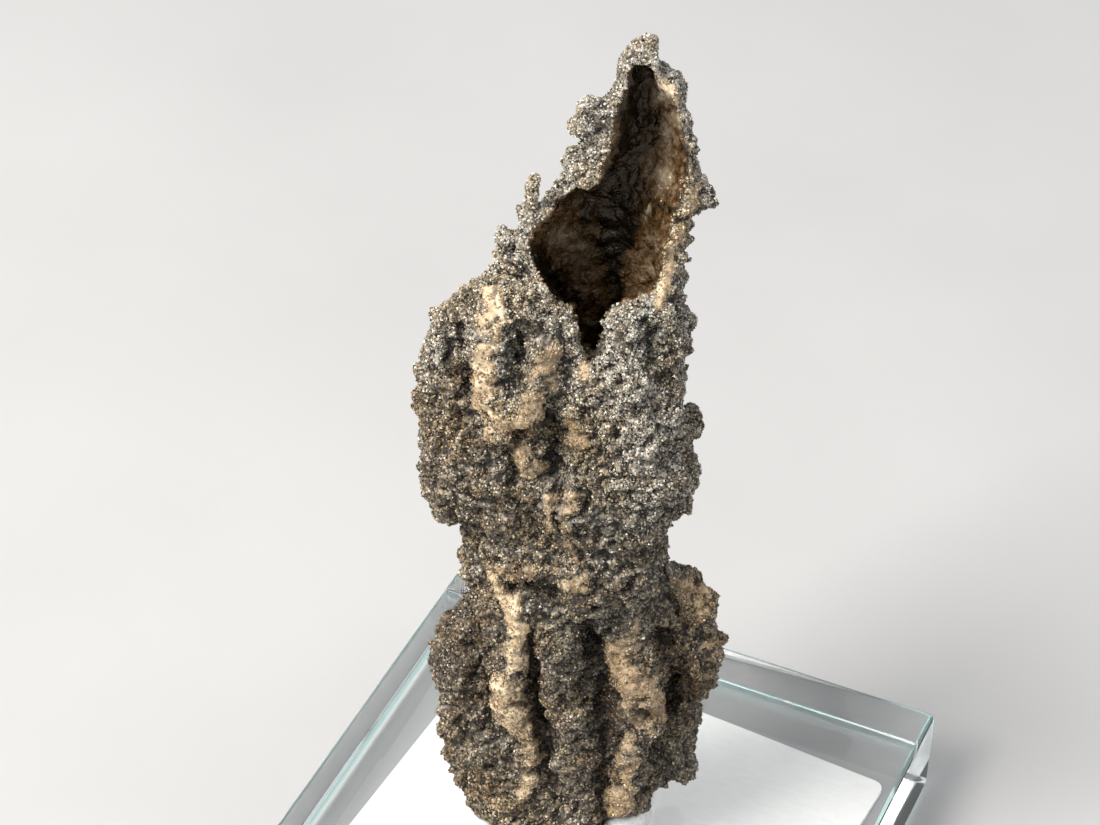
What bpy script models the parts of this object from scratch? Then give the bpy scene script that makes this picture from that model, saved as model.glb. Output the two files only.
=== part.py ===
"""A fulgurite specimen standing on a clear display block.

The fulgurite is one natural piece: a crusty, folded column of sand that lightning fused, with a
glassy hollow that is broken open at the top. A bead of putty holds its foot on a clear block,
and a white card lies under the block. Units are metres, +Z is up, and the origin is the middle
of the card's underside.
"""

import math

import bmesh
import bpy
from mathutils import Matrix, Vector
from mathutils.bvhtree import BVHTree

MM = 0.001

# The made pieces, in millimetres. Neighbours keep a hairline gap.
GAP = 0.3
CARD_SIDE = 42.0
CARD_THICK = 0.5
CARD_CORNER = 1.0
CARD_TURN = math.radians(-4.0)
BLOCK_SIDE = 50.0
BLOCK_HEIGHT = 9.5
BLOCK_EDGE = 0.5
PUTTY_UNDER = 1.1
PUTTY_VOXEL = 0.35
PUTTY_PRINT = 0.42
PUTTY_BUDGET = 700

BLOCK_FOOT = CARD_THICK + GAP
BLOCK_TOP = BLOCK_FOOT + BLOCK_HEIGHT
PUTTY_FOOT = BLOCK_TOP + GAP
SPECIMEN_FOOT = PUTTY_FOOT + PUTTY_UNDER

# The fulgurite, in millimetres, in its own frame: x runs to the right of its best side, y away
# from whoever looks at that side, and z up from the underside of the card. On the block it is
# turned by FACE_TURN.
FACE_TURN = math.radians(25.0)
CRUST_VOXEL = 0.5
PIT_VOXEL = 0.3
CLOSING_VOXEL = 0.4
FOLD_SIZE = 3.6
FOLD_HEIGHT = 3.0
FOLD_STRETCH = 2.6
CRUST_SIZE = 1.9
CRUST_HEIGHT = 1.5
FACE_BUDGET = 8600
WELL_CLEAR = 45.0
WELD = 0.01 * MM

# Each folded column or fin is a stack of ellipses: z, middle x, middle y, half width, half depth.
COLUMNS = {
    "trunk": (
        (8.0, -3.0, 0.0, 6.6, 5.0),
        (20.0, -2.4, 0.0, 6.6, 4.8),
        (30.0, -2.0, 0.0, 6.8, 4.8),
        (40.0, -1.8, 0.0, 7.2, 4.9),
        (50.0, -1.6, 0.2, 7.0, 4.7),
        (60.0, -1.0, 0.4, 7.0, 4.8),
        (68.0, -0.4, 0.8, 6.8, 5.2),
        (74.0, 0.3, 1.2, 6.8, 5.2),
        (79.0, 2.4, 2.0, 5.2, 4.8),
        (83.0, 4.0, 2.6, 3.7, 4.0),
        (87.0, 4.5, 3.0, 2.5, 3.0),
        (88.8, 4.6, 3.2, 1.7, 2.0),
        (90.6, 4.1, 3.4, 0.8, 1.0),
    ),
    "left_rim": (
        (69.0, -6.2, -0.8, 1.7, 2.4),
        (74.0, -5.9, -0.6, 1.5, 2.2),
        (76.2, -4.8, 0.0, 1.4, 1.9),
        (77.4, -3.9, 0.5, 1.2, 1.7),
        (78.6, -2.5, 0.9, 1.1, 1.6),
        (79.8, -1.1, 1.2, 1.1, 1.5),
        (84.4, 0.8, 1.7, 1.1, 1.4),
        (88.2, 2.3, 2.5, 0.9, 1.2),
        (90.4, 3.1, 3.2, 0.8, 0.9),
    ),
    "left_web": (
        (44.0, -6.4, -0.4, 2.0, 3.0),
        (50.0, -7.2, -0.6, 3.4, 3.6),
        (58.0, -7.4, -0.6, 3.4, 3.6),
        (66.0, -7.2, -0.5, 3.0, 3.3),
        (70.6, -6.8, -0.3, 2.2, 2.4),
    ),
    "lower_left_web": (
        (8.0, -5.4, -0.4, 3.0, 4.0),
        (20.0, -6.6, -0.6, 3.2, 4.0),
        (30.0, -7.0, -0.6, 3.2, 3.8),
        (38.0, -6.6, -0.4, 2.4, 3.2),
    ),
    "lower_right_web": (
        (13.6, 2.6, -0.6, 1.8, 2.8),
        (22.0, 4.4, -0.6, 2.6, 3.4),
        (32.0, 4.8, -0.6, 2.8, 3.4),
        (39.0, 4.4, -0.4, 2.2, 3.0),
    ),
    "right_bulge": (
        (40.0, 2.8, -0.6, 3.0, 3.8),
        (47.0, 3.0, -1.2, 3.4, 4.2),
        (52.0, 3.6, -1.8, 4.2, 4.4),
        (58.0, 3.7, -2.2, 4.3, 4.4),
        (63.0, 3.6, -2.5, 3.8, 4.1),
        (68.0, 3.5, -2.6, 3.3, 3.7),
        (71.0, 3.4, -2.8, 2.6, 2.7),
        (72.4, 3.3, -2.8, 1.5, 1.6),
    ),
    "left_bulge": (
        (60.5, -5.7, -1.6, 2.2, 2.8),
        (63.0, -5.9, -1.7, 3.1, 3.6),
        (68.0, -5.8, -1.5, 3.2, 3.4),
        (72.0, -5.4, -1.2, 2.9, 2.8),
        (75.0, -5.0, -0.6, 2.0, 1.8),
    ),
    "upper_left_fin": (
        (46.8, -10.4, 0.6, 1.8, 1.6),
        (49.5, -10.9, 0.4, 3.4, 2.7),
        (55.0, -11.0, 0.2, 3.4, 3.1),
        (60.0, -10.6, 0.0, 3.3, 3.2),
        (65.0, -10.0, 0.0, 3.1, 3.0),
        (68.6, -9.8, 0.1, 2.7, 2.7),
        (70.0, -9.8, 0.2, 1.9, 2.0),
    ),
    "waist_fin": (
        (36.0, -8.2, 1.0, 2.2, 2.4),
        (42.0, -8.3, 1.0, 2.5, 2.6),
        (49.0, -8.4, 0.8, 2.4, 2.6),
    ),
    "lower_left_fin": (
        (8.0, -6.8, 0.0, 3.2, 3.2),
        (13.0, -7.8, 0.0, 3.7, 3.3),
        (18.0, -8.9, 0.0, 3.5, 3.3),
        (24.0, -9.7, 0.0, 3.5, 3.3),
        (30.0, -9.9, 0.2, 3.6, 3.1),
        (34.0, -9.6, 0.4, 3.1, 2.7),
        (36.2, -8.8, 0.6, 1.5, 1.5),
    ),
    "lower_right_fin": (
        (13.2, 5.2, 1.2, 1.8, 1.5),
        (15.0, 6.0, 1.2, 3.2, 2.3),
        (18.6, 6.6, 1.2, 3.4, 2.6),
        (24.0, 7.2, 1.2, 3.5, 2.7),
        (28.0, 7.6, 1.2, 3.5, 2.8),
        (31.0, 8.0, 1.2, 4.1, 2.7),
        (32.6, 6.9, 1.2, 3.3, 2.5),
        (36.0, 6.9, 1.0, 3.6, 2.5),
        (38.6, 6.0, 0.8, 1.9, 1.8),
    ),
    "front_column": (
        (9.0, -1.0, -2.8, 2.4, 2.4),
        (18.0, -0.9, -3.0, 2.4, 2.5),
        (25.0, -1.7, -3.2, 2.3, 2.6),
        (31.0, -2.7, -3.3, 2.0, 2.6),
        (36.0, -3.0, -3.5, 1.9, 2.4),
        (38.6, -3.0, -3.5, 1.1, 1.4),
    ),
    "back_fin": (
        (16.0, -1.0, 5.4, 1.8, 1.8),
        (24.0, -0.4, 6.2, 2.2, 2.6),
        (34.0, -1.6, 6.0, 1.8, 2.2),
        (44.0, -2.4, 6.2, 2.4, 2.6),
        (54.0, -1.4, 6.0, 2.2, 2.2),
        (62.0, 0.2, 5.8, 1.8, 1.6),
    ),
}

# Lumps fused to the columns: x, y, z, half sizes along x, y and z, lean to the right in degrees.
LUMPS = {
    "rim_knob_top": (-0.5, 1.5, 87.0, 1.0, 1.2, 1.4, 0),
    "rim_knob_high": (-0.9, 1.4, 85.9, 1.2, 1.5, 1.0, 0),
    "rim_knob_mid": (-1.1, 1.2, 82.3, 1.8, 1.8, 1.5, 0),
    "rim_knob_low": (-4.6, 0.2, 78.2, 1.8, 1.7, 1.7, 10),
    "left_rim_foot": (-7.0, 0.2, 71.6, 1.9, 1.9, 1.6, 0),
    "right_rim_knob": (8.5, 1.8, 78.9, 1.3, 1.5, 1.9, 0),
    "right_edge_high": (7.0, -1.0, 67.4, 1.1, 1.4, 1.2, 0),
    "right_edge_mid": (7.0, -1.6, 63.4, 1.2, 1.5, 1.8, 0),
    "right_edge_point": (7.5, -2.2, 59.4, 1.4, 1.5, 1.2, 0),
    "right_edge_low": (7.4, -1.8, 53.6, 1.2, 1.8, 3.0, 0),
    "lower_right_ledge": (9.0, 1.2, 36.4, 1.9, 1.8, 1.5, 12),
    "lower_right_shelf": (10.0, 1.2, 30.9, 2.1, 1.9, 1.2, 0),
    "lower_right_tooth": (10.3, 1.2, 25.8, 1.7, 1.8, 1.5, 0),
    "fin_top_left": (-11.3, 0.2, 68.6, 1.5, 1.8, 1.3, 0),
    "fin_bottom_left": (-12.6, 0.4, 50.4, 1.9, 2.0, 2.0, 0),
    "foot_fin_point": (-12.6, 0.2, 28.8, 1.5, 1.7, 2.0, 0),
    "tip_left_prong": (4.0, 3.6, 90.7, 1.05, 1.0, 1.5, 8),
    "tip_right_prong": (5.9, 2.9, 88.2, 1.0, 1.1, 1.5, -35),
    "knob_under_lip": (-5.2, -4.3, 56.4, 1.1, 1.2, 1.0, 0),
    "knob_beside_lip": (-7.6, -4.0, 59.2, 1.0, 1.2, 0.9, 0),
    "waist_ledge_left": (-6.2, -3.5, 43.6, 2.0, 1.8, 1.3, 0),
    "waist_ledge_right": (-3.2, -3.9, 44.8, 2.2, 1.6, 1.0, 0),
    "waist_knob": (-1.2, -4.7, 43.5, 0.9, 1.0, 0.8, 0),
    "ring_high": (0.6, -4.5, 40.9, 1.5, 1.3, 1.5, 0),
    "ring_low": (2.1, -4.1, 37.4, 1.3, 1.3, 1.3, 0),
    "column_top": (-2.9, -4.4, 37.0, 1.3, 1.7, 1.2, 0),
    "lower_left_lump": (-11.5, -1.0, 33.6, 1.6, 2.0, 1.6, 0),
    "lower_left_lump_inner": (-9.5, -1.5, 35.2, 1.5, 1.7, 1.4, 0),
    "shelf_lump_inner": (7.4, 0.2, 38.6, 1.5, 1.6, 1.2, 0),
    "shelf_lump_outer": (9.8, 0.6, 37.0, 1.2, 1.5, 1.2, 0),
    "back_knob_high": (2.6, 6.6, 72.0, 2.4, 1.6, 3.2, 0),
    "back_knob_mid": (4.2, 5.2, 47.0, 2.6, 2.2, 4.4, 0),
    "back_knob_low": (-5.6, 4.6, 30.0, 2.6, 2.2, 5.0, 0),
    "back_shelf": (4.0, 4.6, 24.0, 3.0, 1.8, 2.6, 0),
    "back_left_lump": (-7.6, 3.6, 58.0, 2.8, 2.0, 4.6, 0),
}

# Small spurs that stay sharp, in the same form.
SPURS = {
    "rim_spike": (-4.85, 0.2, 80.5, 0.8, 0.8, 2.0, 8),
    "rim_spur": (-7.1, 0.2, 75.8, 0.9, 0.7, 0.6, 0),
    "rim_knob_top_point": (-0.5, 1.4, 87.2, 0.9, 1.0, 1.2, 0),
    "rim_knob_high_point": (-1.2, 1.4, 86.0, 0.9, 1.0, 0.8, 0),
    "rim_knob_mid_point": (-1.6, 1.2, 82.3, 1.0, 1.2, 1.1, 0),
    "tip_point": (4.5, 3.7, 91.2, 0.6, 0.8, 1.1, 0),
    "right_rim_spur": (8.1, 0.6, 73.2, 0.8, 0.6, 0.4, -25),
    "shelf_point": (11.2, 1.0, 31.0, 1.4, 1.2, 1.0, 0),
}

# Raised seams of bare glass on the crust: the side that they run down (-1 is the front), how far
# they stand proud as a share of their radius, and their points as x, z, radius.
SEAMS = {
    "upper_left_seam": (-1, 1.1, ((-8.0, 72.2, 0.8), (-8.7, 70.0, 0.9), (-8.8, 66.5, 0.8),
                                  (-8.4, 63.8, 0.7), (-9.0, 61.6, 0.7))),
    "pit_seam": (-1, 1.1, ((-3.5, 69.4, 0.5), (-3.6, 66.6, 0.7), (-4.2, 64.6, 0.8),
                           (-5.6, 63.4, 0.9), (-7.4, 63.4, 0.7), (-7.9, 60.6, 0.7))),
    "lip_seam": (-1, 1.3, ((-6.4, 61.8, 0.7), (-5.0, 61.6, 0.8), (-3.8, 63.2, 0.7))),
    "slot_seam": (-1, 1.0, ((1.0, 69.6, 0.6), (0.0, 67.4, 0.7), (-1.2, 62.4, 0.9),
                            (-0.8, 58.0, 0.9), (-1.4, 54.4, 0.7))),
    "waist_seam_left": (-1, 1.1, ((-3.5, 54.0, 0.5), (-3.4, 51.0, 0.6), (-3.2, 48.0, 0.5))),
    "waist_seam_right": (-1, 1.1, ((-2.3, 54.0, 0.5), (-2.2, 50.6, 0.6), (-1.9, 47.0, 0.5))),
    "waist_ledge": (-1, 1.0, ((-7.6, 43.4, 0.8), (-5.0, 44.6, 0.9), (-1.6, 43.8, 0.9))),
    "lower_left_seam": (-1, 1.3, ((-7.5, 43.6, 0.8), (-7.2, 40.8, 0.7), (-6.3, 39.6, 0.7),
                                  (-6.2, 36.6, 0.8), (-6.8, 34.0, 1.1), (-7.2, 30.8, 1.35),
                                  (-7.0, 28.4, 1.2), (-5.7, 25.4, 0.9), (-5.1, 21.8, 0.9),
                                  (-5.2, 18.6, 0.8))),
    "lower_right_seam": (-1, 1.3, ((3.9, 38.0, 0.6), (3.3, 35.4, 0.8), (3.0, 33.4, 1.1),
                                   (3.6, 31.2, 1.3), (5.0, 29.8, 1.2), (6.0, 28.0, 0.9),
                                   (5.9, 26.4, 0.7), (5.2, 25.0, 0.6))),
    "lower_right_branch": (-1, 1.3, ((3.6, 30.2, 0.8), (3.5, 28.2, 0.6), (4.4, 26.6, 0.6))),
    "foot_seam": (-1, 1.3, ((3.4, 23.6, 0.7), (3.7, 20.4, 0.9), (3.1, 17.6, 1.2),
                            (2.7, 14.6, 1.1))),
    "back_seam": (1, 1.1, ((-3.6, 64.0, 0.8), (-4.4, 52.0, 1.0), (-3.8, 40.0, 0.9),
                           (-4.6, 28.0, 1.0), (-3.2, 18.0, 0.8))),
    "back_right_seam": (1, 1.1, ((4.6, 66.0, 0.7), (3.6, 56.0, 0.9), (4.4, 40.0, 0.9))),
}

# Valleys between the folds: the side, how deep they are cut as a share of their radius, and their
# points as the seams have them.
VALLEYS = {
    "right_of_lower_left_seam": (-1, 1.3, ((-4.9, 36.2, 0.7), (-4.9, 32.5, 1.1), (-4.6, 29.0, 1.2),
                                           (-3.9, 25.0, 1.2), (-3.5, 20.5, 1.1),
                                           (-3.2, 16.0, 0.9))),
    "left_of_lower_left_seam": (-1, 0.9, ((-8.8, 35.0, 1.0), (-9.4, 31.0, 1.3), (-9.1, 26.5, 1.3),
                                          (-7.8, 22.5, 1.2))),
    "right_of_front_column": (-1, 1.3, ((0.3, 36.8, 1.1), (-0.1, 34.2, 1.5), (0.6, 31.2, 1.2),
                                        (1.0, 28.0, 0.9), (1.4, 24.0, 0.9), (1.2, 19.5, 0.9),
                                        (0.9, 16.0, 0.8))),
    "right_of_foot_seam": (-1, 1.2, ((6.9, 31.0, 1.5), (7.4, 26.5, 1.6), (6.2, 22.0, 1.6),
                                     (5.6, 17.5, 1.4))),
    "under_right_shelf": (-1, 1.1, ((5.4, 35.4, 1.2), (7.0, 34.4, 1.3), (9.0, 34.0, 1.1))),
    "under_waist_ledge": (-1, 1.0, ((-7.0, 41.8, 0.8), (-4.4, 42.4, 1.0), (-2.4, 41.4, 0.9))),
    "waist_groove": (-1, 1.4, ((-2.85, 53.6, 0.45), (-2.75, 50.4, 0.5), (-2.6, 47.0, 0.4))),
    "left_of_slot_seam": (-1, 1.0, ((-2.9, 62.4, 0.9), (-2.8, 59.0, 1.2), (-2.6, 55.6, 1.0))),
    "under_lip": (-1, 1.2, ((-4.8, 60.2, 0.8), (-3.6, 60.0, 1.1))),
    "bulge_crease": (-1, 1.2, ((3.9, 71.4, 0.7), (4.5, 68.6, 0.8), (4.9, 66.4, 0.7),
                               (6.4, 64.0, 0.5))),
    "upper_left_step": (-1, 0.9, ((-10.0, 69.0, 0.9), (-10.4, 66.0, 1.2), (-10.6, 61.5, 1.1),
                                  (-9.4, 57.6, 0.9))),
}

# The hollow of the tube: z, middle x, middle y, half width, half depth.
HOLLOW = (
    (50.0, 0.2, 0.6, 1.2, 1.0),
    (54.0, 0.2, 0.6, 2.4, 2.0),
    (62.0, 0.4, 0.8, 3.8, 3.0),
    (68.0, 0.5, 0.9, 4.6, 3.5),
    (71.8, 0.5, 0.9, 5.0, 3.7),
    (74.4, 0.4, -0.6, 4.9, 5.3),
    (76.6, 0.3, -1.8, 5.2, 6.6),
    (78.4, 1.5, -1.8, 4.5, 6.7),
    (81.4, 3.9, -1.6, 3.5, 6.6),
    (84.5, 4.3, -1.4, 2.5, 6.4),
    (87.0, 4.1, -1.2, 2.1, 6.1),
    (88.6, 3.9, -1.2, 1.2, 5.7),
    (90.0, 3.9, -1.2, 0.6, 5.2),
    (90.9, 4.1, -1.2, 0.4, 4.7),
)

# Pits cut in the crust, given as the lumps are.
PITS = {
    "mouth_slot_high": (-0.4, -4.2, 73.4, 3.0, 4.0, 2.8, 0),
    "mouth_slot_low": (-0.1, -4.2, 70.6, 1.2, 4.4, 3.9, 0),
    "mouth_corner": (3.4, -4.2, 73.9, 1.9, 3.6, 1.9, 0),
    "tip_shoulder": (6.7, 3.6, 91.0, 1.6, 4.0, 1.6, 0),
    "rim_notch_high": (0.75, 1.6, 88.6, 0.5, 2.4, 1.4, 8),
    "rim_notch_mid": (-2.3, 1.4, 84.5, 1.0, 2.4, 0.4, 0),
    "rim_saddle": (-2.4, 0.9, 79.75, 1.5, 3.0, 1.0, -36),
    "shelf_notch": (12.0, 1.2, 33.7, 1.9, 3.2, 0.9, 0),
    "left_pit": (-5.7, -6.0, 68.2, 1.5, 2.1, 3.0, 0),
    "ring_hole_high": (0.6, -6.2, 40.9, 0.6, 1.6, 0.65, 0),
    "ring_hole_low": (2.1, -5.8, 37.4, 0.5, 1.6, 0.55, 0),
    "curl_hole_left": (2.7, -5.6, 28.8, 0.7, 1.6, 0.8, 0),
    "curl_hollow": (4.7, -5.4, 27.4, 0.9, 1.9, 1.1, 0),
    "back_pit": (1.6, 6.4, 38.0, 1.4, 1.8, 3.0, 0),
}

# The putty that the foot is pressed into, in the specimen's frame.
PUTTY_MOUND = (
    (PUTTY_FOOT - 1.0, -2.6, 0.0, 9.0, 6.2),
    (PUTTY_FOOT + 0.6, -2.6, 0.0, 8.8, 6.0),
    (PUTTY_FOOT + 1.6, -2.7, 0.0, 8.1, 5.5),
    (PUTTY_FOOT + 2.2, -2.8, 0.0, 6.6, 4.4),
)
PUTTY_LUMPS = {
    "right": (3.6, 1.6, PUTTY_FOOT + 0.4, 2.6, 2.2, 1.9, 0),
    "front": (-1.0, -4.8, PUTTY_FOOT + 0.3, 2.8, 1.7, 1.3, 0),
    "left": (-9.2, -0.8, PUTTY_FOOT + 0.3, 2.2, 2.6, 1.4, 0),
    "back": (-3.0, 4.6, PUTTY_FOOT + 0.4, 3.4, 1.8, 1.5, 0),
}


def clear_scene():
    for thing in list(bpy.data.objects):
        bpy.data.objects.remove(thing, do_unlink=True)


def material(name, colour, roughness, transmission=0.0):
    made = bpy.data.materials.new(name)
    made.use_nodes = True
    shader = made.node_tree.nodes["Principled BSDF"]
    shader.inputs["Base Color"].default_value = (*colour, 1.0)
    shader.inputs["Roughness"].default_value = roughness
    shader.inputs["Metallic"].default_value = 0.0
    shader.inputs["Transmission Weight"].default_value = transmission
    return made


def collection(name):
    made = bpy.data.collections.new(name)
    bpy.context.scene.collection.children.link(made)
    return made


def object_from(bm, name, home):
    mesh = bpy.data.meshes.new(name)
    bm.to_mesh(mesh)
    bm.free()
    made = bpy.data.objects.new(name, mesh)
    home.objects.link(made)
    return made


def evaluated_mesh(thing):
    graph = bpy.context.evaluated_depsgraph_get()
    return bpy.data.meshes.new_from_object(thing.evaluated_get(graph), depsgraph=graph)


def add_column(bm, sections, sides=28):
    """A closed tube through a stack of ellipses."""
    loops = []
    for z, x, y, half_width, half_depth in sections:
        place = Matrix.Translation(Vector((x, y, z)) * MM)
        size = Matrix.Diagonal((half_width * MM, half_depth * MM, 1.0, 1.0))
        ring = bmesh.ops.create_circle(bm, segments=sides, radius=1.0, matrix=place @ size)
        loops.append({edge for vert in ring["verts"] for edge in vert.link_edges})
    for lower, upper in zip(loops, loops[1:]):
        bmesh.ops.bridge_loops(bm, edges=list(lower | upper))
    for end in (loops[0], loops[-1]):
        bmesh.ops.holes_fill(bm, edges=list(end))
    bmesh.ops.recalc_face_normals(bm, faces=bm.faces)


def add_lump(bm, x, y, z, half_x, half_y, half_z, lean):
    place = Matrix.Translation(Vector((x, y, z)) * MM)
    tip = Matrix.Rotation(math.radians(lean), 4, "Y")
    size = Matrix.Diagonal((half_x * MM, half_y * MM, half_z * MM, 1.0))
    bmesh.ops.create_icosphere(bm, subdivisions=3, radius=1.0, matrix=place @ tip @ size)


def fused_mass(home):
    """The columns, fins and lumps run together, with the valleys cut between them."""
    bm = bmesh.new()
    for sections in COLUMNS.values():
        add_column(bm, sections)
    for lump in LUMPS.values():
        add_lump(bm, *lump)
    mass = object_from(bm, "fused_mass", home)
    voxel_fuse(mass, "fuse")
    melt(mass, "melt")
    surface = BVHTree.FromObject(mass, bpy.context.evaluated_depsgraph_get())
    cut(mass, "valleys", valley_cutter(home, surface))
    voxel_fuse(mass, "valley_skin")
    melt(mass, "melt_valleys")
    upright = bpy.data.objects.new("upright_grain", None)
    upright.scale = (1.0, 1.0, FOLD_STRETCH)
    home.objects.link(upright)
    roughen(mass, "folds", FOLD_SIZE, FOLD_HEIGHT, upright)
    roughen(mass, "crust", CRUST_SIZE, CRUST_HEIGHT)
    return mass


def melt(thing, name):
    soften = thing.modifiers.new(name, "SMOOTH")
    soften.factor = 0.5
    soften.iterations = 3


def laid_tube(points, side, sunk, surface, home):
    """A tube of changing radius laid along the crust, sunk by a share of its radius, as a mesh."""
    curve = bpy.data.curves.new("laid", "CURVE")
    curve.dimensions = "3D"
    curve.bevel_depth = MM
    curve.bevel_resolution = 2
    curve.use_fill_caps = True
    spline = curve.splines.new("POLY")
    spline.points.add(len(points) - 1)
    for knot, (x, z, radius) in zip(spline.points, points):
        start = Vector((x, WELL_CLEAR * side, z)) * MM
        hit = surface.ray_cast(start, Vector((0.0, -side, 0.0)))[0]
        knot.co = (hit.x, hit.y - side * sunk * radius * MM, hit.z, 1.0)
        knot.radius = radius
    tube = bpy.data.objects.new("laid", curve)
    home.objects.link(tube)
    mesh = evaluated_mesh(tube)
    bpy.data.objects.remove(tube)
    return mesh


def clouds(name, size):
    made = bpy.data.textures.new(name, "CLOUDS")
    made.noise_scale = size * MM
    made.noise_depth = 2
    return made


def roughen(thing, name, size, height, upright=None):
    """Swells and sinks the surface by a cloudy pattern, drawn out along the height of upright."""
    push = thing.modifiers.new(name, "DISPLACE")
    push.texture = clouds(name, size)
    push.texture_coords = "OBJECT" if upright else "LOCAL"
    push.texture_coords_object = upright
    push.mid_level = 0.5
    push.strength = height * MM


def voxel_fuse(thing, name, voxel=CRUST_VOXEL):
    fuse = thing.modifiers.new(name, "REMESH")
    fuse.mode = "VOXEL"
    fuse.voxel_size = voxel * MM


def cut(thing, name, cutter):
    cutter.hide_render = True
    cutter.display_type = "WIRE"
    removed = thing.modifiers.new(name, "BOOLEAN")
    removed.operation = "DIFFERENCE"
    removed.solver = "EXACT"
    removed.object = cutter


def hollow_cutter(home):
    bm = bmesh.new()
    add_column(bm, HOLLOW, sides=24)
    return object_from(bm, "hollow_cutter", home)


def valley_cutter(home, surface):
    bm = bmesh.new()
    for side, depth, points in VALLEYS.values():
        bm.from_mesh(laid_tube(points, side, depth - 1.0, surface, home))
    bmesh.ops.remove_doubles(bm, verts=bm.verts, dist=WELD)
    cutter = object_from(bm, "valley_cutter", home)
    voxel_fuse(cutter, "fuse", PIT_VOXEL)
    return cutter


def pit_cutter(home):
    bm = bmesh.new()
    for pit in PITS.values():
        add_lump(bm, *pit)
    cutter = object_from(bm, "pit_cutter", home)
    voxel_fuse(cutter, "fuse", PIT_VOXEL)
    return cutter


def foot_cutter(home, height):
    bm = bmesh.new()
    size = 2.0 * WELL_CLEAR * MM
    place = Matrix.Translation((0.0, 0.0, height * MM - size / 2))
    bmesh.ops.create_cube(bm, size=size, matrix=place)
    return object_from(bm, "foot_cutter", home)


def keep_largest(mesh):
    """Drops crumbs that came loose from the crust."""
    bm = bmesh.new()
    bm.from_mesh(mesh)
    left = set(bm.faces)
    islands = []
    while left:
        front = [left.pop()]
        island = set(front)
        while front:
            face = front.pop()
            near = {other for edge in face.edges for other in edge.link_faces} & left
            left -= near
            island |= near
            front.extend(near)
        islands.append(island)
    islands.sort(key=len)
    crumbs = {vert for island in islands[:-1] for face in island for vert in face.verts}
    bmesh.ops.delete(bm, geom=list(crumbs), context="VERTS")
    bm.to_mesh(mesh)
    bm.free()


def thinned(mesh, name, budget, home):
    """The mesh as an object of about so many triangles."""
    thing = bpy.data.objects.new(name, mesh)
    home.objects.link(thing)
    thin = thing.modifiers.new("facets", "DECIMATE")
    mesh.calc_loop_triangles()
    thin.ratio = min(1.0, budget / len(mesh.loop_triangles))
    thin.use_collapse_triangulate = True
    return thing


def crusted_body(home, cutters):
    mass = fused_mass(cutters)
    surface = BVHTree.FromObject(mass, bpy.context.evaluated_depsgraph_get())
    bm = bmesh.new()
    bm.from_mesh(evaluated_mesh(mass))
    for side, proud, points in SEAMS.values():
        bm.from_mesh(laid_tube(points, side, 1.0 - proud, surface, cutters))
    bmesh.ops.remove_doubles(bm, verts=bm.verts, dist=WELD)
    for lump in SPURS.values():
        add_lump(bm, *lump)
    bpy.data.objects.remove(mass)
    rough = object_from(bm, "rough_body", cutters)
    voxel_fuse(rough, "fuse")
    cut(rough, "pits", pit_cutter(cutters))
    cut(rough, "hollow", hollow_cutter(cutters))
    cut(rough, "flat_foot", foot_cutter(cutters, SPECIMEN_FOOT))
    voxel_fuse(rough, "close", CLOSING_VOXEL)
    mesh = evaluated_mesh(rough)
    bpy.data.objects.remove(rough)
    keep_largest(mesh)
    return thinned(mesh, "fulgurite", FACE_BUDGET, home)


def backing_card(home):
    """A flat card with rounded corners, laid a little askew."""
    bm = bmesh.new()
    size = Matrix.Diagonal((CARD_SIDE * MM, CARD_SIDE * MM, CARD_THICK * MM, 1.0))
    middle = Matrix.Translation((0, 0, CARD_THICK / 2 * MM))
    bmesh.ops.create_cube(bm, size=1.0, matrix=middle @ size)
    corners = [edge for edge in bm.edges if abs(edge.verts[0].co.z - edge.verts[1].co.z) > GAP * MM]
    bmesh.ops.bevel(bm, geom=corners, offset=CARD_CORNER * MM, segments=4, profile=0.5,
                    affect="EDGES", material=-1)
    card = object_from(bm, "backing_card", home)
    card.rotation_euler.z = CARD_TURN
    return card


def clear_block(home):
    """A square block with all its edges eased."""
    bm = bmesh.new()
    size = Matrix.Diagonal((BLOCK_SIDE * MM, BLOCK_SIDE * MM, BLOCK_HEIGHT * MM, 1.0))
    middle = Matrix.Translation((0, 0, (BLOCK_FOOT + BLOCK_HEIGHT / 2) * MM))
    bmesh.ops.create_cube(bm, size=1.0, matrix=middle @ size)
    block = object_from(bm, "clear_block", home)
    ease = block.modifiers.new("eased_edges", "BEVEL")
    ease.width = BLOCK_EDGE * MM
    ease.segments = 2
    return block


def putty_bead(home, cutters, body):
    """A pressed mound round the foot, with the foot's own shape sunk in it."""
    bm = bmesh.new()
    add_column(bm, PUTTY_MOUND)
    for lump in PUTTY_LUMPS.values():
        add_lump(bm, *lump)
    mound = object_from(bm, "putty_mound", cutters)
    voxel_fuse(mound, "fuse", PUTTY_VOXEL)
    foot_print = bpy.data.objects.new("foot_print", evaluated_mesh(body))
    cutters.objects.link(foot_print)
    grow = foot_print.modifiers.new("grow", "DISPLACE")
    grow.mid_level = 0.0
    grow.strength = PUTTY_PRINT * MM
    voxel_fuse(foot_print, "close", PUTTY_VOXEL)
    cut(mound, "foot_print", foot_print)
    cut(mound, "flat_under", foot_cutter(cutters, PUTTY_FOOT))
    voxel_fuse(mound, "close_mound", PUTTY_VOXEL)
    mesh = evaluated_mesh(mound)
    keep_largest(mesh)
    bpy.data.objects.remove(mound)
    return thinned(mesh, "mounting_putty", PUTTY_BUDGET, home)


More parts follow.
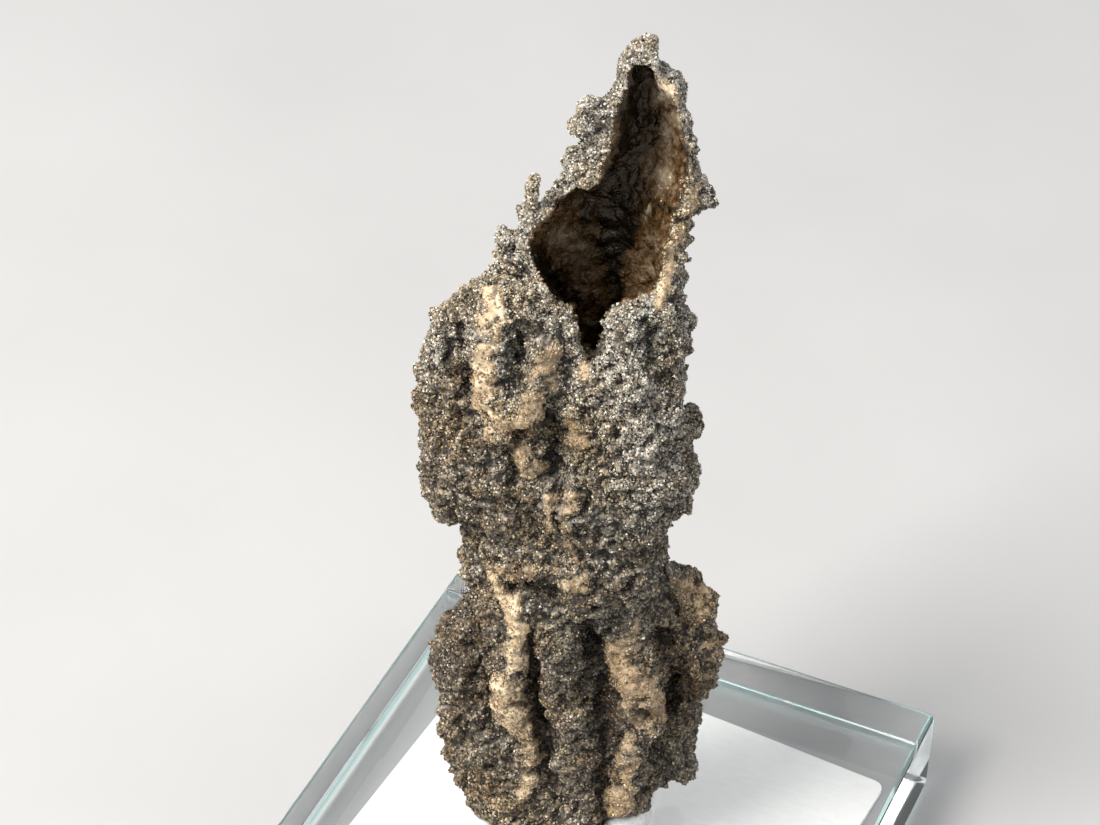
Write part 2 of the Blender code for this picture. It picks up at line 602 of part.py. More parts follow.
def main():
    clear_scene()
    kept = collection("fulgurite_on_clear_block")
    cutters = collection("cutters")
    body = crusted_body(kept, cutters)
    body.data.materials.append(material("fused_sand", (0.20, 0.165, 0.125), 0.75))
    putty = putty_bead(kept, cutters, body)
    putty.data.materials.append(material("pale_putty", (0.72, 0.72, 0.70), 0.55))
    block = clear_block(kept)
    block.data.materials.append(material("clear_acrylic", (0.93, 0.97, 0.97), 0.03, 1.0))
    card = backing_card(kept)
    card.data.materials.append(material("white_card", (0.82, 0.81, 0.80), 0.8))
    turned = bpy.data.objects.new("specimen_turn", None)
    kept.objects.link(turned)
    for thing in (body, putty, *cutters.objects):
        thing.parent = turned
    turned.rotation_euler.z = FACE_TURN
    bpy.context.view_layer.update()


if __name__ == "__main__":
    main()
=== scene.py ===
import math

import bmesh
import bpy
import numpy as np
from mathutils import Matrix, Vector, noise
from mathutils.bvhtree import BVHTree
from mathutils.kdtree import KDTree


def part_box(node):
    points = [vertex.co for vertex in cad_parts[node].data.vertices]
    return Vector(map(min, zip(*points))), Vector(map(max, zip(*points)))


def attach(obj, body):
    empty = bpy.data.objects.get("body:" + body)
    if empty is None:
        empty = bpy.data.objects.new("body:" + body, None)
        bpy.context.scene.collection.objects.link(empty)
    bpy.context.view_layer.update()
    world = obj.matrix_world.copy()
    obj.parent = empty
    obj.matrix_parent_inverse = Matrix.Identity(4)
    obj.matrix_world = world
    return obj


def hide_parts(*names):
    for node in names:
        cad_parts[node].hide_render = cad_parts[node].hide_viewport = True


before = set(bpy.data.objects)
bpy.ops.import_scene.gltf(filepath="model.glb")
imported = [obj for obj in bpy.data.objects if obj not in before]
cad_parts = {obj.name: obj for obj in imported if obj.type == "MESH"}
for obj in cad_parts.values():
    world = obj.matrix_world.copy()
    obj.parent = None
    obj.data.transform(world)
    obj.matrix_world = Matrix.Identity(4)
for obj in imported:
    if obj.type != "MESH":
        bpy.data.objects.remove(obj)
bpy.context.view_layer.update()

# ---- White card ------------------------------------------------------------------------------
# A square of plain white card lies under the block and shows through it. It was cut with a
# knife, its corners rounded a little, and it isn't quite square to the block.

MM = 0.001
CARD_EDGE = 0.08 * MM
CARD_WHITE = (0.93, 0.91, 0.89, 1.0)
CARD_FIBRE = (0.88, 0.86, 0.83, 1.0)
FIBRE_SIZE = 0.5 * MM
FIBRE_RELIEF = 0.03 * MM
WELD_REACH = 0.01 * MM
FLAT_ANGLE = math.radians(1.0)


def merged_copy(node):
    """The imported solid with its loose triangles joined, as a bmesh."""
    bm = bmesh.new()
    bm.from_mesh(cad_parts[node].data)
    bmesh.ops.remove_doubles(bm, verts=bm.verts, dist=WELD_REACH)
    bmesh.ops.dissolve_limit(bm, angle_limit=FLAT_ANGLE, verts=bm.verts, edges=bm.edges)
    return bm


def piece_from(bm, name):
    """Makes the bmesh an object of the scene, and frees it."""
    mesh = bpy.data.meshes.new(name)
    bm.to_mesh(mesh)
    bm.free()
    made = bpy.data.objects.new(name, mesh)
    bpy.context.scene.collection.objects.link(made)
    return made


def new_material(name):
    """A material with its node tree, its Principled shader and Object coordinates."""
    made = bpy.data.materials.new(name)
    made.use_nodes = True
    tree = made.node_tree
    shader = tree.nodes["Principled BSDF"]
    place = tree.nodes.new("ShaderNodeTexCoord").outputs["Object"]
    return made, tree, shader, place


def cloud(tree, place, size, detail=2.0, rough=0.5, stretch=(1.0, 1.0, 1.0)):
    """Soft noise whose lumps are about size metres across, drawn out by stretch."""
    scale = tree.nodes.new("ShaderNodeMapping")
    scale.inputs["Scale"].default_value = [1.0 / along for along in stretch]
    tree.links.new(place, scale.inputs["Vector"])
    made = tree.nodes.new("ShaderNodeTexNoise")
    made.inputs["Scale"].default_value = 1.0 / size
    made.inputs["Detail"].default_value = detail
    made.inputs["Roughness"].default_value = rough
    tree.links.new(scale.outputs["Vector"], made.inputs["Vector"])
    return made.outputs["Fac"]


def ramp(tree, value, stops):
    """Colours along a value: stops are (position, colour)."""
    made = tree.nodes.new("ShaderNodeValToRGB")
    made.color_ramp.elements[0].position = stops[0][0]
    made.color_ramp.elements[0].color = stops[0][1]
    made.color_ramp.elements[1].position = stops[-1][0]
    made.color_ramp.elements[1].color = stops[-1][1]
    for position, colour in stops[1:-1]:
        made.color_ramp.elements.new(position).color = colour
    tree.links.new(value, made.inputs["Fac"])
    return made.outputs["Color"]


def bump(tree, shader, height, strength, depth):
    """Fine relief, depth metres deep, that only the light sees."""
    made = tree.nodes.new("ShaderNodeBump")
    made.inputs["Strength"].default_value = strength
    made.inputs["Distance"].default_value = depth
    tree.links.new(height, made.inputs["Height"])
    tree.links.new(made.outputs["Normal"], shader.inputs["Normal"])


bm = merged_copy("backing_card")
bmesh.ops.bevel(bm, geom=bm.edges[:], offset=CARD_EDGE, segments=2, profile=0.5,
                affect="EDGES", material=-1)
card = piece_from(bm, "white_card")

paper, tree, shader, place = new_material("white_card_stock")
fibres = cloud(tree, place, FIBRE_SIZE, detail=6.0, rough=0.7, stretch=(3.0, 1.0, 1.0))
white = ramp(tree, fibres, ((0.3, CARD_FIBRE), (0.6, CARD_WHITE)))
tree.links.new(white, shader.inputs["Base Color"])
shader.inputs["Roughness"].default_value = 0.85
bump(tree, shader, fibres, 0.25, FIBRE_RELIEF)
card.data.materials.append(paper)
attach(card, "root")
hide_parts("backing_card")

# ---- Clear block -----------------------------------------------------------------------------
# A square block of cast acrylic, sawn and polished on every face, with its edges just eased.
# It is clear, with a faint cyan depth of colour at the edges, and has a few nicks from handling.

BLOCK_EDGE = 0.45 * MM
BLOCK_EDGE_STEPS = 4
FLAT_FACE = 100.0 * MM * MM
BLOCK_TINT = (0.70, 0.965, 0.95, 1.0)
BLOCK_TINT_DENSITY = 4.0
BLOCK_IOR = 1.49
POLISHED = (0.0, 0.0, 0.0, 1.0)
HANDLED = (0.05, 0.05, 0.05, 1.0)
WEAR_SIZE = 6.0 * MM
SCRATCH_SIZE = 0.6 * MM
SCRATCH_DEPTH = 0.02 * MM
# The nicks, in millimetres: place, and half sizes along x, y and z.
NICKS = (
    ((10.2, 25.0, 0.8), (0.9, 0.5, 0.35)),
    ((-14.0, 25.1, 10.3), (0.6, 0.4, 0.4)),
    ((25.1, -9.0, 10.35), (0.4, 0.8, 0.4)),
    ((-25.1, 6.0, 10.3), (0.4, 0.5, 0.35)),
    ((25.0, 25.0, 4.0), (0.35, 0.35, 0.7)),
    ((-6.0, -25.1, 10.3), (0.7, 0.4, 0.4)),
)
NICK_AXIS = (0.3, 0.5, 1.0)

low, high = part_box("clear_block")
bm = bmesh.new()
bmesh.ops.create_cube(bm, size=1.0)
bmesh.ops.scale(bm, vec=high - low, verts=bm.verts)
bmesh.ops.translate(bm, vec=(high + low) / 2, verts=bm.verts)
bmesh.ops.bevel(bm, geom=bm.edges[:], offset=BLOCK_EDGE, segments=BLOCK_EDGE_STEPS, profile=0.5,
                affect="EDGES", material=-1)
block = piece_from(bm, "display_block")

# The nicks are small lumps cut out of the block, each turned by an angle of its own.
bm = bmesh.new()
for centre, halves in NICKS:
    size = Matrix.Diagonal((*(half * MM for half in halves), 1.0))
    tilt = Matrix.Rotation(centre[0], 4, NICK_AXIS)
    bmesh.ops.create_icosphere(bm, subdivisions=2, radius=1.0,
                               matrix=Matrix.Translation(Vector(centre) * MM) @ size @ tilt)
nicks = piece_from(bm, "nick_tool")


def applied(thing):
    """Replaces an object's mesh with what its modifiers make of it."""
    graph = bpy.context.evaluated_depsgraph_get()
    mesh = bpy.data.meshes.new_from_object(thing.evaluated_get(graph), depsgraph=graph)
    thing.modifiers.clear()
    thing.data = mesh
    mesh.name = thing.name
    return thing


chip = block.modifiers.new("nicks", "BOOLEAN")
chip.operation = "DIFFERENCE"
chip.solver = "EXACT"
chip.object = nicks
applied(block)
bpy.data.objects.remove(nicks)
for face in block.data.polygons:
    face.use_smooth = face.area < FLAT_FACE

acrylic, tree, shader, place = new_material("polished_acrylic")
shader.inputs["Base Color"].default_value = (1.0, 1.0, 1.0, 1.0)
shader.inputs["Transmission Weight"].default_value = 1.0
shader.inputs["IOR"].default_value = BLOCK_IOR
wear = cloud(tree, place, WEAR_SIZE, detail=6.0, rough=0.6)
tree.links.new(ramp(tree, wear, ((0.45, POLISHED), (0.8, HANDLED))), shader.inputs["Roughness"])
scratches = cloud(tree, place, SCRATCH_SIZE, detail=3.0, stretch=(14.0, 1.0, 1.0))
bump(tree, shader, scratches, 0.02, SCRATCH_DEPTH)
depth = tree.nodes.new("ShaderNodeVolumeAbsorption")
depth.inputs["Color"].default_value = BLOCK_TINT
depth.inputs["Density"].default_value = BLOCK_TINT_DENSITY
tree.links.new(depth.outputs["Volume"], tree.nodes["Material Output"].inputs["Volume"])
block.data.materials.append(acrylic)
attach(block, "root")
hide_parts("clear_block")

# ---- Mounting putty --------------------------------------------------------------------------
# A bead of pale, tacky mineral putty, pressed down with a fingertip, holds the foot of the
# specimen on the block. Sand and lint have stuck to it here and there.

PUTTY_SKIN = 0.16 * MM
PUTTY_MELTS = 5
# The finger marks, in millimetres: how far the bead swells, the size of its swells and of its
# small dents, how deep those are, and the height over which it comes clear of the block.
PUTTY_SWELL = 0.16
SWELL_SIZE = 1.6
DENT_SIZE = 0.5
DENT_DEPTH = 0.05
CLEAR_OF_BLOCK = 0.3
PUTTY_PALE = (0.66, 0.665, 0.64, 1.0)
PUTTY_GREY = (0.42, 0.42, 0.39, 1.0)
SMUDGE_SIZE = 1.8 * MM
PUTTY_GRIT = 0.25 * MM
PUTTY_RELIEF = 0.05 * MM


def skinned(thing, skin, melts):
    """Wraps the shape in a fine even mesh and softens its facets."""
    wrap = thing.modifiers.new("wrap", "REMESH")
    wrap.mode = "VOXEL"
    wrap.voxel_size = skin
    melt = thing.modifiers.new("melt", "SMOOTH")
    melt.factor = 0.5
    melt.iterations = melts
    return applied(thing)


def listed(things, name, kind=np.float32):
    """One property of every vertex, edge, face or corner, in one row."""
    first = getattr(things[0], name)
    width = len(first) if hasattr(first, "__len__") else 1
    row = np.empty(len(things) * width, kind)
    things.foreach_get(name, row)
    return row


def coords(mesh):
    """The vertices' places in millimetres."""
    return listed(mesh.vertices, "co").reshape(-1, 3).astype(np.float64) / MM


def normals(mesh):
    """The directions that the skin faces at the vertices."""
    return listed(mesh.vertex_normals, "vector").reshape(-1, 3).astype(np.float64)


def put(mesh, points):
    """Moves the vertices to places in millimetres."""
    mesh.vertices.foreach_set("co", (points * MM).astype(np.float32).ravel())
    mesh.update()


def lumpiness(points, size, depth=2, stretch=1.0):
    """Cloudy noise about 0 at points in millimetres, drawn out upwards by stretch."""
    scaled = points / np.array((size, size, size * stretch))
    return np.array([noise.fractal(Vector(p), 0.9, 2.0, depth) for p in scaled])


putty = piece_from(merged_copy("mounting_putty"), "putty_bead")
skinned(putty, PUTTY_SKIN, PUTTY_MELTS)
points = coords(putty.data)
swell = PUTTY_SWELL * (1.0 + lumpiness(points, SWELL_SIZE)) + DENT_DEPTH * lumpiness(points, DENT_SIZE)
ground = points[:, 2].min()
lift = np.clip((points[:, 2] - ground) / CLEAR_OF_BLOCK, 0.0, 1.0)
put(putty.data, points + normals(putty.data) * (swell * lift)[:, None])
putty.data.shade_smooth()

tack, tree, shader, place = new_material("mineral_putty")
smudge = cloud(tree, place, SMUDGE_SIZE, detail=5.0, rough=0.65)
smudged = ramp(tree, smudge, ((0.35, PUTTY_GREY), (0.55, PUTTY_PALE)))
tree.links.new(smudged, shader.inputs["Base Color"])
shader.inputs["Roughness"].default_value = 0.42
shader.inputs["Subsurface Weight"].default_value = 0.25
shader.inputs["Subsurface Radius"].default_value = (0.9 * MM, 0.8 * MM, 0.7 * MM)
bump(tree, shader, cloud(tree, place, PUTTY_GRIT, detail=4.0), 0.3, PUTTY_RELIEF)
putty.data.materials.append(tack)
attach(putty, "root")
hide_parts("mounting_putty")

# ---- Fulgurite body --------------------------------------------------------------------------
# One tube of dune sand that lightning fused from inside. Its skin is a crust of half-melted
# grains with bare tan glass along the seams, and its hollow is dark, smooth brown glass. It is
# worked here in its own frame: x to the right of its open side, y away, z up, in millimetres.

FACE_TURN = math.radians(25.0)
to_own = Matrix.Rotation(-FACE_TURN, 4, "Z")
to_frame = Matrix.Rotation(FACE_TURN, 4, "Z")
BODY_SKIN = 0.27 * MM
BODY_MELTS = 6
# What is drawn on the skin wanders in large and in small bends, and its lumps wander by a bend
# between them: size and reach of each.
WANDER_SEED = 4
LARGE_BENDS = (2.1, 0.9)
SMALL_BENDS = (0.75, 0.45)
LUMP_BENDS = (2.6, 0.6)

# The crust's relief: the sizes and heights of its broad lumps, of its large and small knots and
# of its pits, and of the blisters and ripples in the glass of the hollow.
LUMP_SIZE, LUMP_HEIGHT = 2.8, 0.55
KNOT_SIZE, KNOT_HEIGHT = 1.9, 0.44
KNURL_SIZE, KNURL_HEIGHT = 0.8, 0.22
POCK_SIZE, POCK_DEPTH = 1.1, 1.6
BLISTER_SIZE, BLISTER_HEIGHT = 1.5, 0.20
RIPPLE_SIZE, RIPPLE_HEIGHT = 0.7, 0.20
# Bare glass and thin edges have less of the crust by these shares, and edges are trimmed a little.
GLAZE_SMOOTHS = 0.65
EDGE_SMOOTHS = 0.6
EDGE_TRIM = 0.2
# A thin edge keeps its core: the skin sinks by at most a share of what lies under it, and what
# is thinner than THIN is fattened. THICK is as deep as it is measured.
THICK = 3.0
THIN = 0.8
SINK_SHARE = 0.18
# The crust thins out towards the tip, from the first height to the second, and so it does on the
# spikes of the left rim, from the first x and height to the second.
TIP_THINS = (84.0, 88.0)
SPIKES_LEFT = (-3.0, -4.2)
SPIKES_UP = (75.5, 77.5)

# The hollow: z, middle x, middle y, half width, half depth.
HOLLOW = (
    (50.0, 0.2, 0.6, 1.2, 1.0),
    (54.0, 0.2, 0.6, 2.4, 2.0),
    (62.0, 0.4, 0.8, 3.8, 3.0),
    (71.8, 0.5, 0.9, 5.0, 3.7),
    (74.4, 0.4, -0.6, 4.9, 5.3),
    (76.6, 0.3, -1.8, 5.2, 6.6),
    (78.4, 1.5, -1.8, 4.5, 6.7),
    (81.4, 3.9, -1.6, 3.5, 6.6),
    (84.5, 4.3, -1.4, 2.5, 6.4),
    (87.0, 4.1, -1.2, 2.1, 6.1),
    (88.6, 3.9, -1.2, 1.2, 5.7),
    (90.0, 3.9, -1.2, 0.6, 5.2),
    (90.4, 4.1, -1.2, 0.5, 5.0),
)
HOLLOW_MARGIN = 0.75
# How many times its edge is averaged: a little for the edge, more for the rim beside it.
HOLLOW_SOFTENS = 3
RIM_SPREADS = 14

# Seams where bare tan glass came through the crust: the side that they run down (-1 is the
# front), how far they stand proud, how pale they are and their points as x, z, radius.
SEAMS = (
    (-1, 0.30, 0.85, ((-7.8, 72.4, 0.9), (-8.0, 70.8, 1.2), (-8.3, 68.4, 0.8), (-8.5, 66.0, 1.0),
                      (-9.1, 63.4, 1.2), (-9.0, 61.4, 1.0), (-8.0, 59.2, 0.7))),
    (-1, 0.30, 0.15, ((-3.5, 69.6, 0.5), (-3.6, 67.8, 0.8), (-3.9, 65.6, 0.8), (-4.3, 63.8, 1.0),
                      (-5.4, 62.0, 1.2), (-6.4, 60.6, 0.8))),
    (-1, 0.35, 1.0, ((-8.6, 62.4, 0.8), (-7.2, 61.4, 0.9), (-5.8, 61.6, 0.9), (-4.2, 62.8, 0.8))),
    (-1, 0.40, 0.6, ((-5.5, 57.2, 0.8), (-5.2, 55.8, 1.1))),
    (-1, 0.20, 0.3, ((0.2, 69.0, 0.6), (-0.4, 66.6, 0.8), (-0.6, 64.6, 0.6))),
    (-1, 0.20, 0.1, ((-1.5, 61.4, 0.6), (-1.2, 59.6, 0.7))),
    (-1, 0.30, 0.35, ((-3.5, 54.2, 0.4), (-3.3, 52.0, 0.5), (-3.4, 49.6, 0.4), (-3.0, 47.4, 0.3))),
    (-1, 0.35, 0.4, ((-2.3, 54.0, 0.4), (-2.1, 52.0, 0.5), (-2.1, 49.4, 0.35), (-1.6, 46.0, 0.4))),
    (-1, 0.40, 0.65, ((-0.8, 44.2, 0.8), (-1.3, 43.0, 0.9))),
    (-1, 0.25, 0.1, ((-6.6, 43.9, 0.5), (-5.6, 44.3, 0.5), (-4.6, 44.9, 0.6))),
    (-1, 0.40, 0.9, ((-7.7, 44.0, 0.9), (-7.5, 41.6, 0.8), (-6.5, 39.8, 1.0), (-6.1, 37.4, 0.6))),
    (-1, 0.40, 1.0, ((-6.2, 36.8, 0.7), (-6.6, 34.6, 1.1), (-7.2, 31.8, 1.4), (-7.5, 29.6, 1.5),
                     (-6.6, 27.4, 1.2), (-5.6, 25.0, 0.8), (-5.2, 21.8, 0.9), (-5.2, 18.6, 0.8))),
    (-1, 0.25, 0.1, ((3.9, 38.0, 0.6), (3.5, 36.4, 0.8), (2.6, 34.2, 1.3), (3.6, 31.6, 1.6),
                     (4.9, 30.4, 1.4), (5.9, 28.4, 1.0), (5.9, 26.6, 0.8))),
    (-1, 0.25, 0.1, ((3.4, 31.0, 0.9), (3.3, 28.6, 0.7), (4.2, 26.4, 0.8), (5.2, 25.6, 0.7))),
    (-1, 0.35, 0.15, ((3.4, 23.8, 0.6), (3.5, 20.4, 0.9), (3.1, 17.8, 1.4), (2.7, 14.6, 1.3))),
    (-1, 0.10, 0.6, ((8.1, 81.0, 0.5), (7.4, 78.8, 0.7), (6.4, 76.4, 0.8), (5.6, 74.0, 0.7),
                     (5.2, 72.0, 0.5))),
    (-1, 0.00, 1.0, ((5.2, 90.0, 0.5), (5.6, 88.8, 1.0), (6.1, 87.4, 0.8))),
    # This seam and the next run along the tops of the shelf edge and the spur; their colour is partly
    # painted top light.
    (-1, 0.10, 0.5, ((7.4, 38.8, 0.6), (8.8, 38.2, 0.9), (10.0, 37.2, 0.7))),
    (-1, 0.05, 0.3, ((10.4, 32.4, 0.5), (12.0, 31.6, 0.6))),
    (1, 0.35, 0.5, ((-3.2, 66.0, 0.6), (-4.0, 63.0, 1.0), (-3.6, 60.0, 0.8), (-4.8, 57.4, 1.1),
                    (-4.0, 54.6, 0.6))),
    (1, 0.30, 0.3, ((-4.8, 47.0, 0.7), (-3.8, 44.0, 1.2), (-4.6, 40.8, 0.9), (-3.4, 38.6, 0.6))),
    (1, 0.35, 0.7, ((-5.2, 31.0, 0.8), (-4.2, 28.0, 1.3), (-4.8, 24.4, 1.0), (-3.4, 20.6, 0.7))),
    (1, 0.30, 0.4, ((5.0, 67.0, 0.7), (3.9, 63.4, 1.0), (4.6, 60.0, 0.6))),
    (1, 0.25, 0.2, ((3.4, 52.6, 0.6), (4.6, 49.4, 1.0), (3.8, 45.6, 0.8), (4.8, 42.0, 0.6))),
    (1, 0.30, 0.6, ((1.0, 78.6, 0.6), (2.2, 76.0, 0.9), (1.6, 73.2, 0.7))),
)
# Grooves in the crust, written the same way with how deep they are.
GROOVES = (
    (-1, 0.9, ((-5.7, 70.4, 1.0), (-5.7, 68.4, 1.5), (-6.0, 66.0, 1.5), (-6.4, 63.8, 0.8))),
    (-1, 0.9, ((-3.4, 61.4, 0.6), (-2.7, 59.6, 0.9), (-2.6, 57.4, 0.9), (-3.2, 55.0, 0.7))),
    (-1, 0.8, ((3.8, 72.0, 0.5), (4.2, 70.2, 0.8), (4.8, 67.6, 0.6), (6.1, 64.1, 0.5))),
    (-1, 0.9, ((-2.8, 53.6, 0.3), (-2.7, 51.0, 0.4), (-2.6, 48.6, 0.35))),
    (-1, 0.8, ((-6.0, 42.4, 0.8), (-4.2, 43.0, 0.8), (-2.6, 42.4, 0.6))),
    (-1, 1.1, ((-4.8, 36.6, 0.6), (-4.9, 33.4, 0.9), (-5.0, 30.4, 1.2), (-4.2, 27.0, 1.2),
               (-3.8, 23.6, 1.0), (-3.6, 19.6, 0.8))),
    (-1, 1.0, ((0.3, 38.4, 0.7), (0.0, 34.8, 1.3), (0.8, 31.4, 1.1), (1.4, 27.4, 0.9),
               (1.2, 22.6, 0.7))),
    (-1, 1.0, ((6.2, 34.4, 0.9), (7.4, 31.4, 1.4), (7.8, 28.4, 1.4), (7.0, 25.0, 1.2),
               (5.8, 21.8, 0.9))),
    (-1, 0.6, ((-9.4, 38.6, 0.8), (-9.6, 34.6, 0.9), (-9.9, 30.8, 0.8))),
    (-1, 0.7, ((-6.3, 59.4, 0.7), (-6.8, 56.8, 0.9), (-6.6, 54.0, 0.7))),
    (1, 0.9, ((0.6, 66.0, 0.6), (1.6, 61.0, 1.0), (0.4, 56.0, 0.9), (1.4, 51.0, 1.1),
              (0.2, 46.0, 0.8))),
    (1, 1.0, ((1.2, 40.0, 0.8), (0.0, 35.0, 1.2), (1.0, 30.0, 1.2), (-0.2, 24.0, 1.0),
              (0.6, 18.6, 0.7))),
    (1, 0.9, ((-6.6, 68.0, 0.7), (-7.2, 63.0, 1.1), (-6.4, 58.0, 1.0), (-7.2, 52.0, 0.8))),
    (1, 0.9, ((-7.6, 36.0, 0.7), (-6.8, 31.0, 1.1), (-7.6, 26.0, 0.9))),
    (1, 0.9, ((5.8, 38.0, 0.7), (5.0, 33.0, 1.1), (6.0, 28.0, 1.1), (5.2, 22.6, 0.7))),
    (1, 0.8, ((3.8, 86.0, 0.5), (3.0, 82.0, 0.8), (4.4, 78.0, 0.8))),
)
STROKE_STEP = 0.15
# Small leanings of the thin broken tip and of a spur beside the hollow: x, z, reach, and how far
# they lean along x and z.
LEANINGS = (
    (5.9, 90.3, 1.2, -0.7, -0.3),
    (2.9, 90.2, 1.0, -0.4, 0.1),
    (4.9, 92.4, 0.9, 0.2, 0.1),
    (8.3, 73.2, 0.6, -0.6, 0.0),
)

# Holes in the crust: side, x, z, radius, depth.
HOLES = (
    (-1, 0.6, 40.9, 0.7, 1.3),
    (-1, 1.9, 37.2, 0.6, 1.2),
    (-1, 2.7, 28.7, 0.6, 1.2),
    (-1, 4.5, 27.2, 0.8, 1.3),
    (-1, -6.2, 63.0, 0.5, 0.8),
    (-1, -3.6, 59.5, 0.8, 1.0),
    (-1, -0.1, 34.0, 0.8, 0.9),
    (-1, -2.8, 51.0, 0.35, 0.7),
    (-1, -9.6, 66.4, 0.7, 0.6),
    (-1, -11.2, 62.0, 0.6, 0.6),
    (-1, 5.2, 57.6, 0.6, 0.6),
    (-1, 3.0, 47.6, 0.6, 0.6),
    (1, 1.0, 40.0, 0.8, 1.2),
    (1, -2.4, 58.0, 0.6, 1.0),
)

# Where the crust is paler, tanner, bluer or darker: x, z, half width, half height, how much.
PALE_AND_LIT_PATCHES = (
    (3.0, 62.0, 5.0, 9.0, 0.55),
    (0.8, 50.0, 2.0, 3.0, 0.3),
    (-6.2, 39.8, 1.1, 1.3, 1.0),
    (-6.0, 70.0, 4.0, 3.0, 0.2),
    (-1.5, 46.5, 1.5, 2.0, 0.35),
    (-5.0, 79.0, 3.0, 4.0, 0.4),
    # This row, on the top of the shelf edge, is partly painted top light as well as pale crust.
    (9.6, 37.4, 1.6, 1.6, 0.6),
    (7.6, 80.0, 2.0, 3.0, 0.3),
    (6.4, 88.4, 1.6, 2.4, 1.2),
    (4.3, 91.4, 2.6, 2.0, 1.2),
)
TAN_AND_LIT_PATCHES = (
    (-11.4, 60.0, 2.2, 5.0, 0.6),
    (-5.6, 59.6, 3.6, 4.0, 0.7),
    (-1.0, 60.0, 1.6, 5.0, 0.6),
    (-6.0, 44.0, 3.0, 1.6, 0.8),
    # This row and the next, on the tops of the shelf edge and the spur, are partly painted top light as
    # well as tan crust.
    (9.4, 37.6, 2.6, 2.2, 0.9),
    (11.6, 32.2, 2.0, 1.6, 0.9),
    (-8.6, 16.0, 4.0, 3.0, 0.8),
    (3.0, 17.0, 2.4, 5.0, 0.7),
    (4.0, 32.0, 2.6, 4.0, 0.5),
    (7.0, 77.0, 2.2, 4.5, 1.0),
    (8.0, 31.0, 3.0, 7.0, 0.7),
    (-0.6, 81.6, 2.2, 2.0, 0.3),
)
BLUE_PATCHES = (
    (-5.7, 67.4, 1.6, 2.4, 1.0),
    (4.4, 70.6, 1.2, 2.6, 1.0),
    (-1.6, 56.6, 2.4, 3.4, 0.5),
    (1.4, 51.6, 3.6, 3.4, 0.5),
    (-1.0, 36.0, 3.0, 6.0, 0.4),
    (3.0, 37.0, 4.0, 3.0, 0.4),
)
DARK_AND_SHADE_PATCHES = (
    # The first five lie over grooves, a hole, the dip under the lip and the receding right wing:
    # painted shade there. The rest are darker crust.
    (-3.0, 58.0, 1.4, 3.0, 0.6),
    (8.4, 29.0, 3.0, 7.0, 0.6),
    (0.2, 34.0, 1.6, 3.0, 0.9),
    (-4.8, 30.0, 1.4, 6.0, 1.0),
    (1.4, 27.0, 1.4, 5.0, 0.8),
    (-10.6, 32.0, 3.4, 7.0, 0.5),
    (-11.0, 60.0, 3.6, 11.0, 0.3),
    (-4.0, 50.0, 5.0, 5.0, 0.25),
    (8.2, 62.0, 1.4, 8.0, 0.5),
    (5.6, 47.0, 2.6, 3.0, 0.4),
    (-8.0, 50.0, 1.6, 4.0, 0.4),
)
# Where the glass of the hollow is paler or blacker, written the same way, but with the heights as
# they are seen over the rim, looking down into the hollow by LOOK_DOWN.
LOOK_DOWN = math.radians(40.3)
# Partly the glass's own pale patches and specks, partly painted light: the cream face and the right
# wall, lit as they face the lamp.
PALE_AND_LIT_GLASS = (
    (5.5, 68.8, 1.1, 0.9, 0.75),
    (5.7, 66.0, 1.2, 2.2, 0.32),
    (5.2, 62.8, 1.8, 1.6, 0.32),
    (3.7, 61.9, 1.3, 1.0, 0.08),
    (4.3, 57.0, 1.8, 2.8, 0.2),
    (3.7, 53.3, 1.2, 2.0, 0.26),
    (4.5, 60.0, 0.35, 0.35, 0.6),
    (-0.6, 54.5, 1.8, 1.8, 0.22),
    (-0.6, 52.0, 1.5, 1.8, 0.12),
    (-1.9, 57.4, 2.0, 1.7, 0.3),
    (-1.5, 56.4, 0.3, 0.25, 0.5),
    (1.5, 54.2, 0.4, 0.5, 0.3),
    (0.8, 52.0, 0.4, 0.4, 0.25),
    (0.4, 59.2, 1.6, 1.0, 0.08),
)
# Partly the glass's own black streaks, partly painted shade: the slit at the top and the left wall
# under the rim.
BLACK_AND_SHADED_GLASS = (
    (3.85, 70.2, 0.6, 1.9, 0.5),
    (3.1, 66.5, 1.1, 3.0, 0.35),
    (2.2, 62.4, 1.0, 1.6, 0.12),
    (1.9, 57.4, 1.1, 4.0, 0.26),
    (-4.3, 54.6, 1.7, 2.2, 0.55),
    (-2.4, 51.8, 1.1, 1.6, 0.3),
)

bm = merged_copy("fulgurite")
bmesh.ops.transform(bm, matrix=to_own, verts=bm.verts)
body = piece_from(bm, "fulgurite_body")
skinned(body, BODY_SKIN, BODY_MELTS)
mesh = body.data
edges = listed(mesh.edges, "vertices", np.int32).reshape(-1, 2)


def spread(values, rounds):
    """Averages values over the vertices that edges join."""
    count = len(values)
    near = np.bincount(edges.ravel(), minlength=count)
    for _ in range(rounds):
        total = (np.bincount(edges[:, 0], weights=values[edges[:, 1]], minlength=count)
                 + np.bincount(edges[:, 1], weights=values[edges[:, 0]], minlength=count))
        values = 0.5 * values + 0.5 * total / np.maximum(near, 1)
    return values


def ease(value, start, end):
    """0 before start, 1 after end, smooth between. start may be the larger."""
    share = np.clip((value - start) / (end - start), 0.0, 1.0)
    return share * share * (3.0 - 2.0 * share)


def facing_hit(surface, side, x, z):
    """Where a straight look at one side meets the surface, in millimetres."""
    far = 40.0 * side
    hit = surface.ray_cast(Vector((x, far, z)) * MM, Vector((0.0, -side, 0.0)))[0]
    return hit / MM if hit else Vector((x, 0.0, z))


def wandered(places, size, reach):
    """Places moved by up to reach by soft noise, so that what is drawn on them comes out ragged."""
    return places + reach * np.array([noise.noise_vector(Vector(p)) for p in places / size])


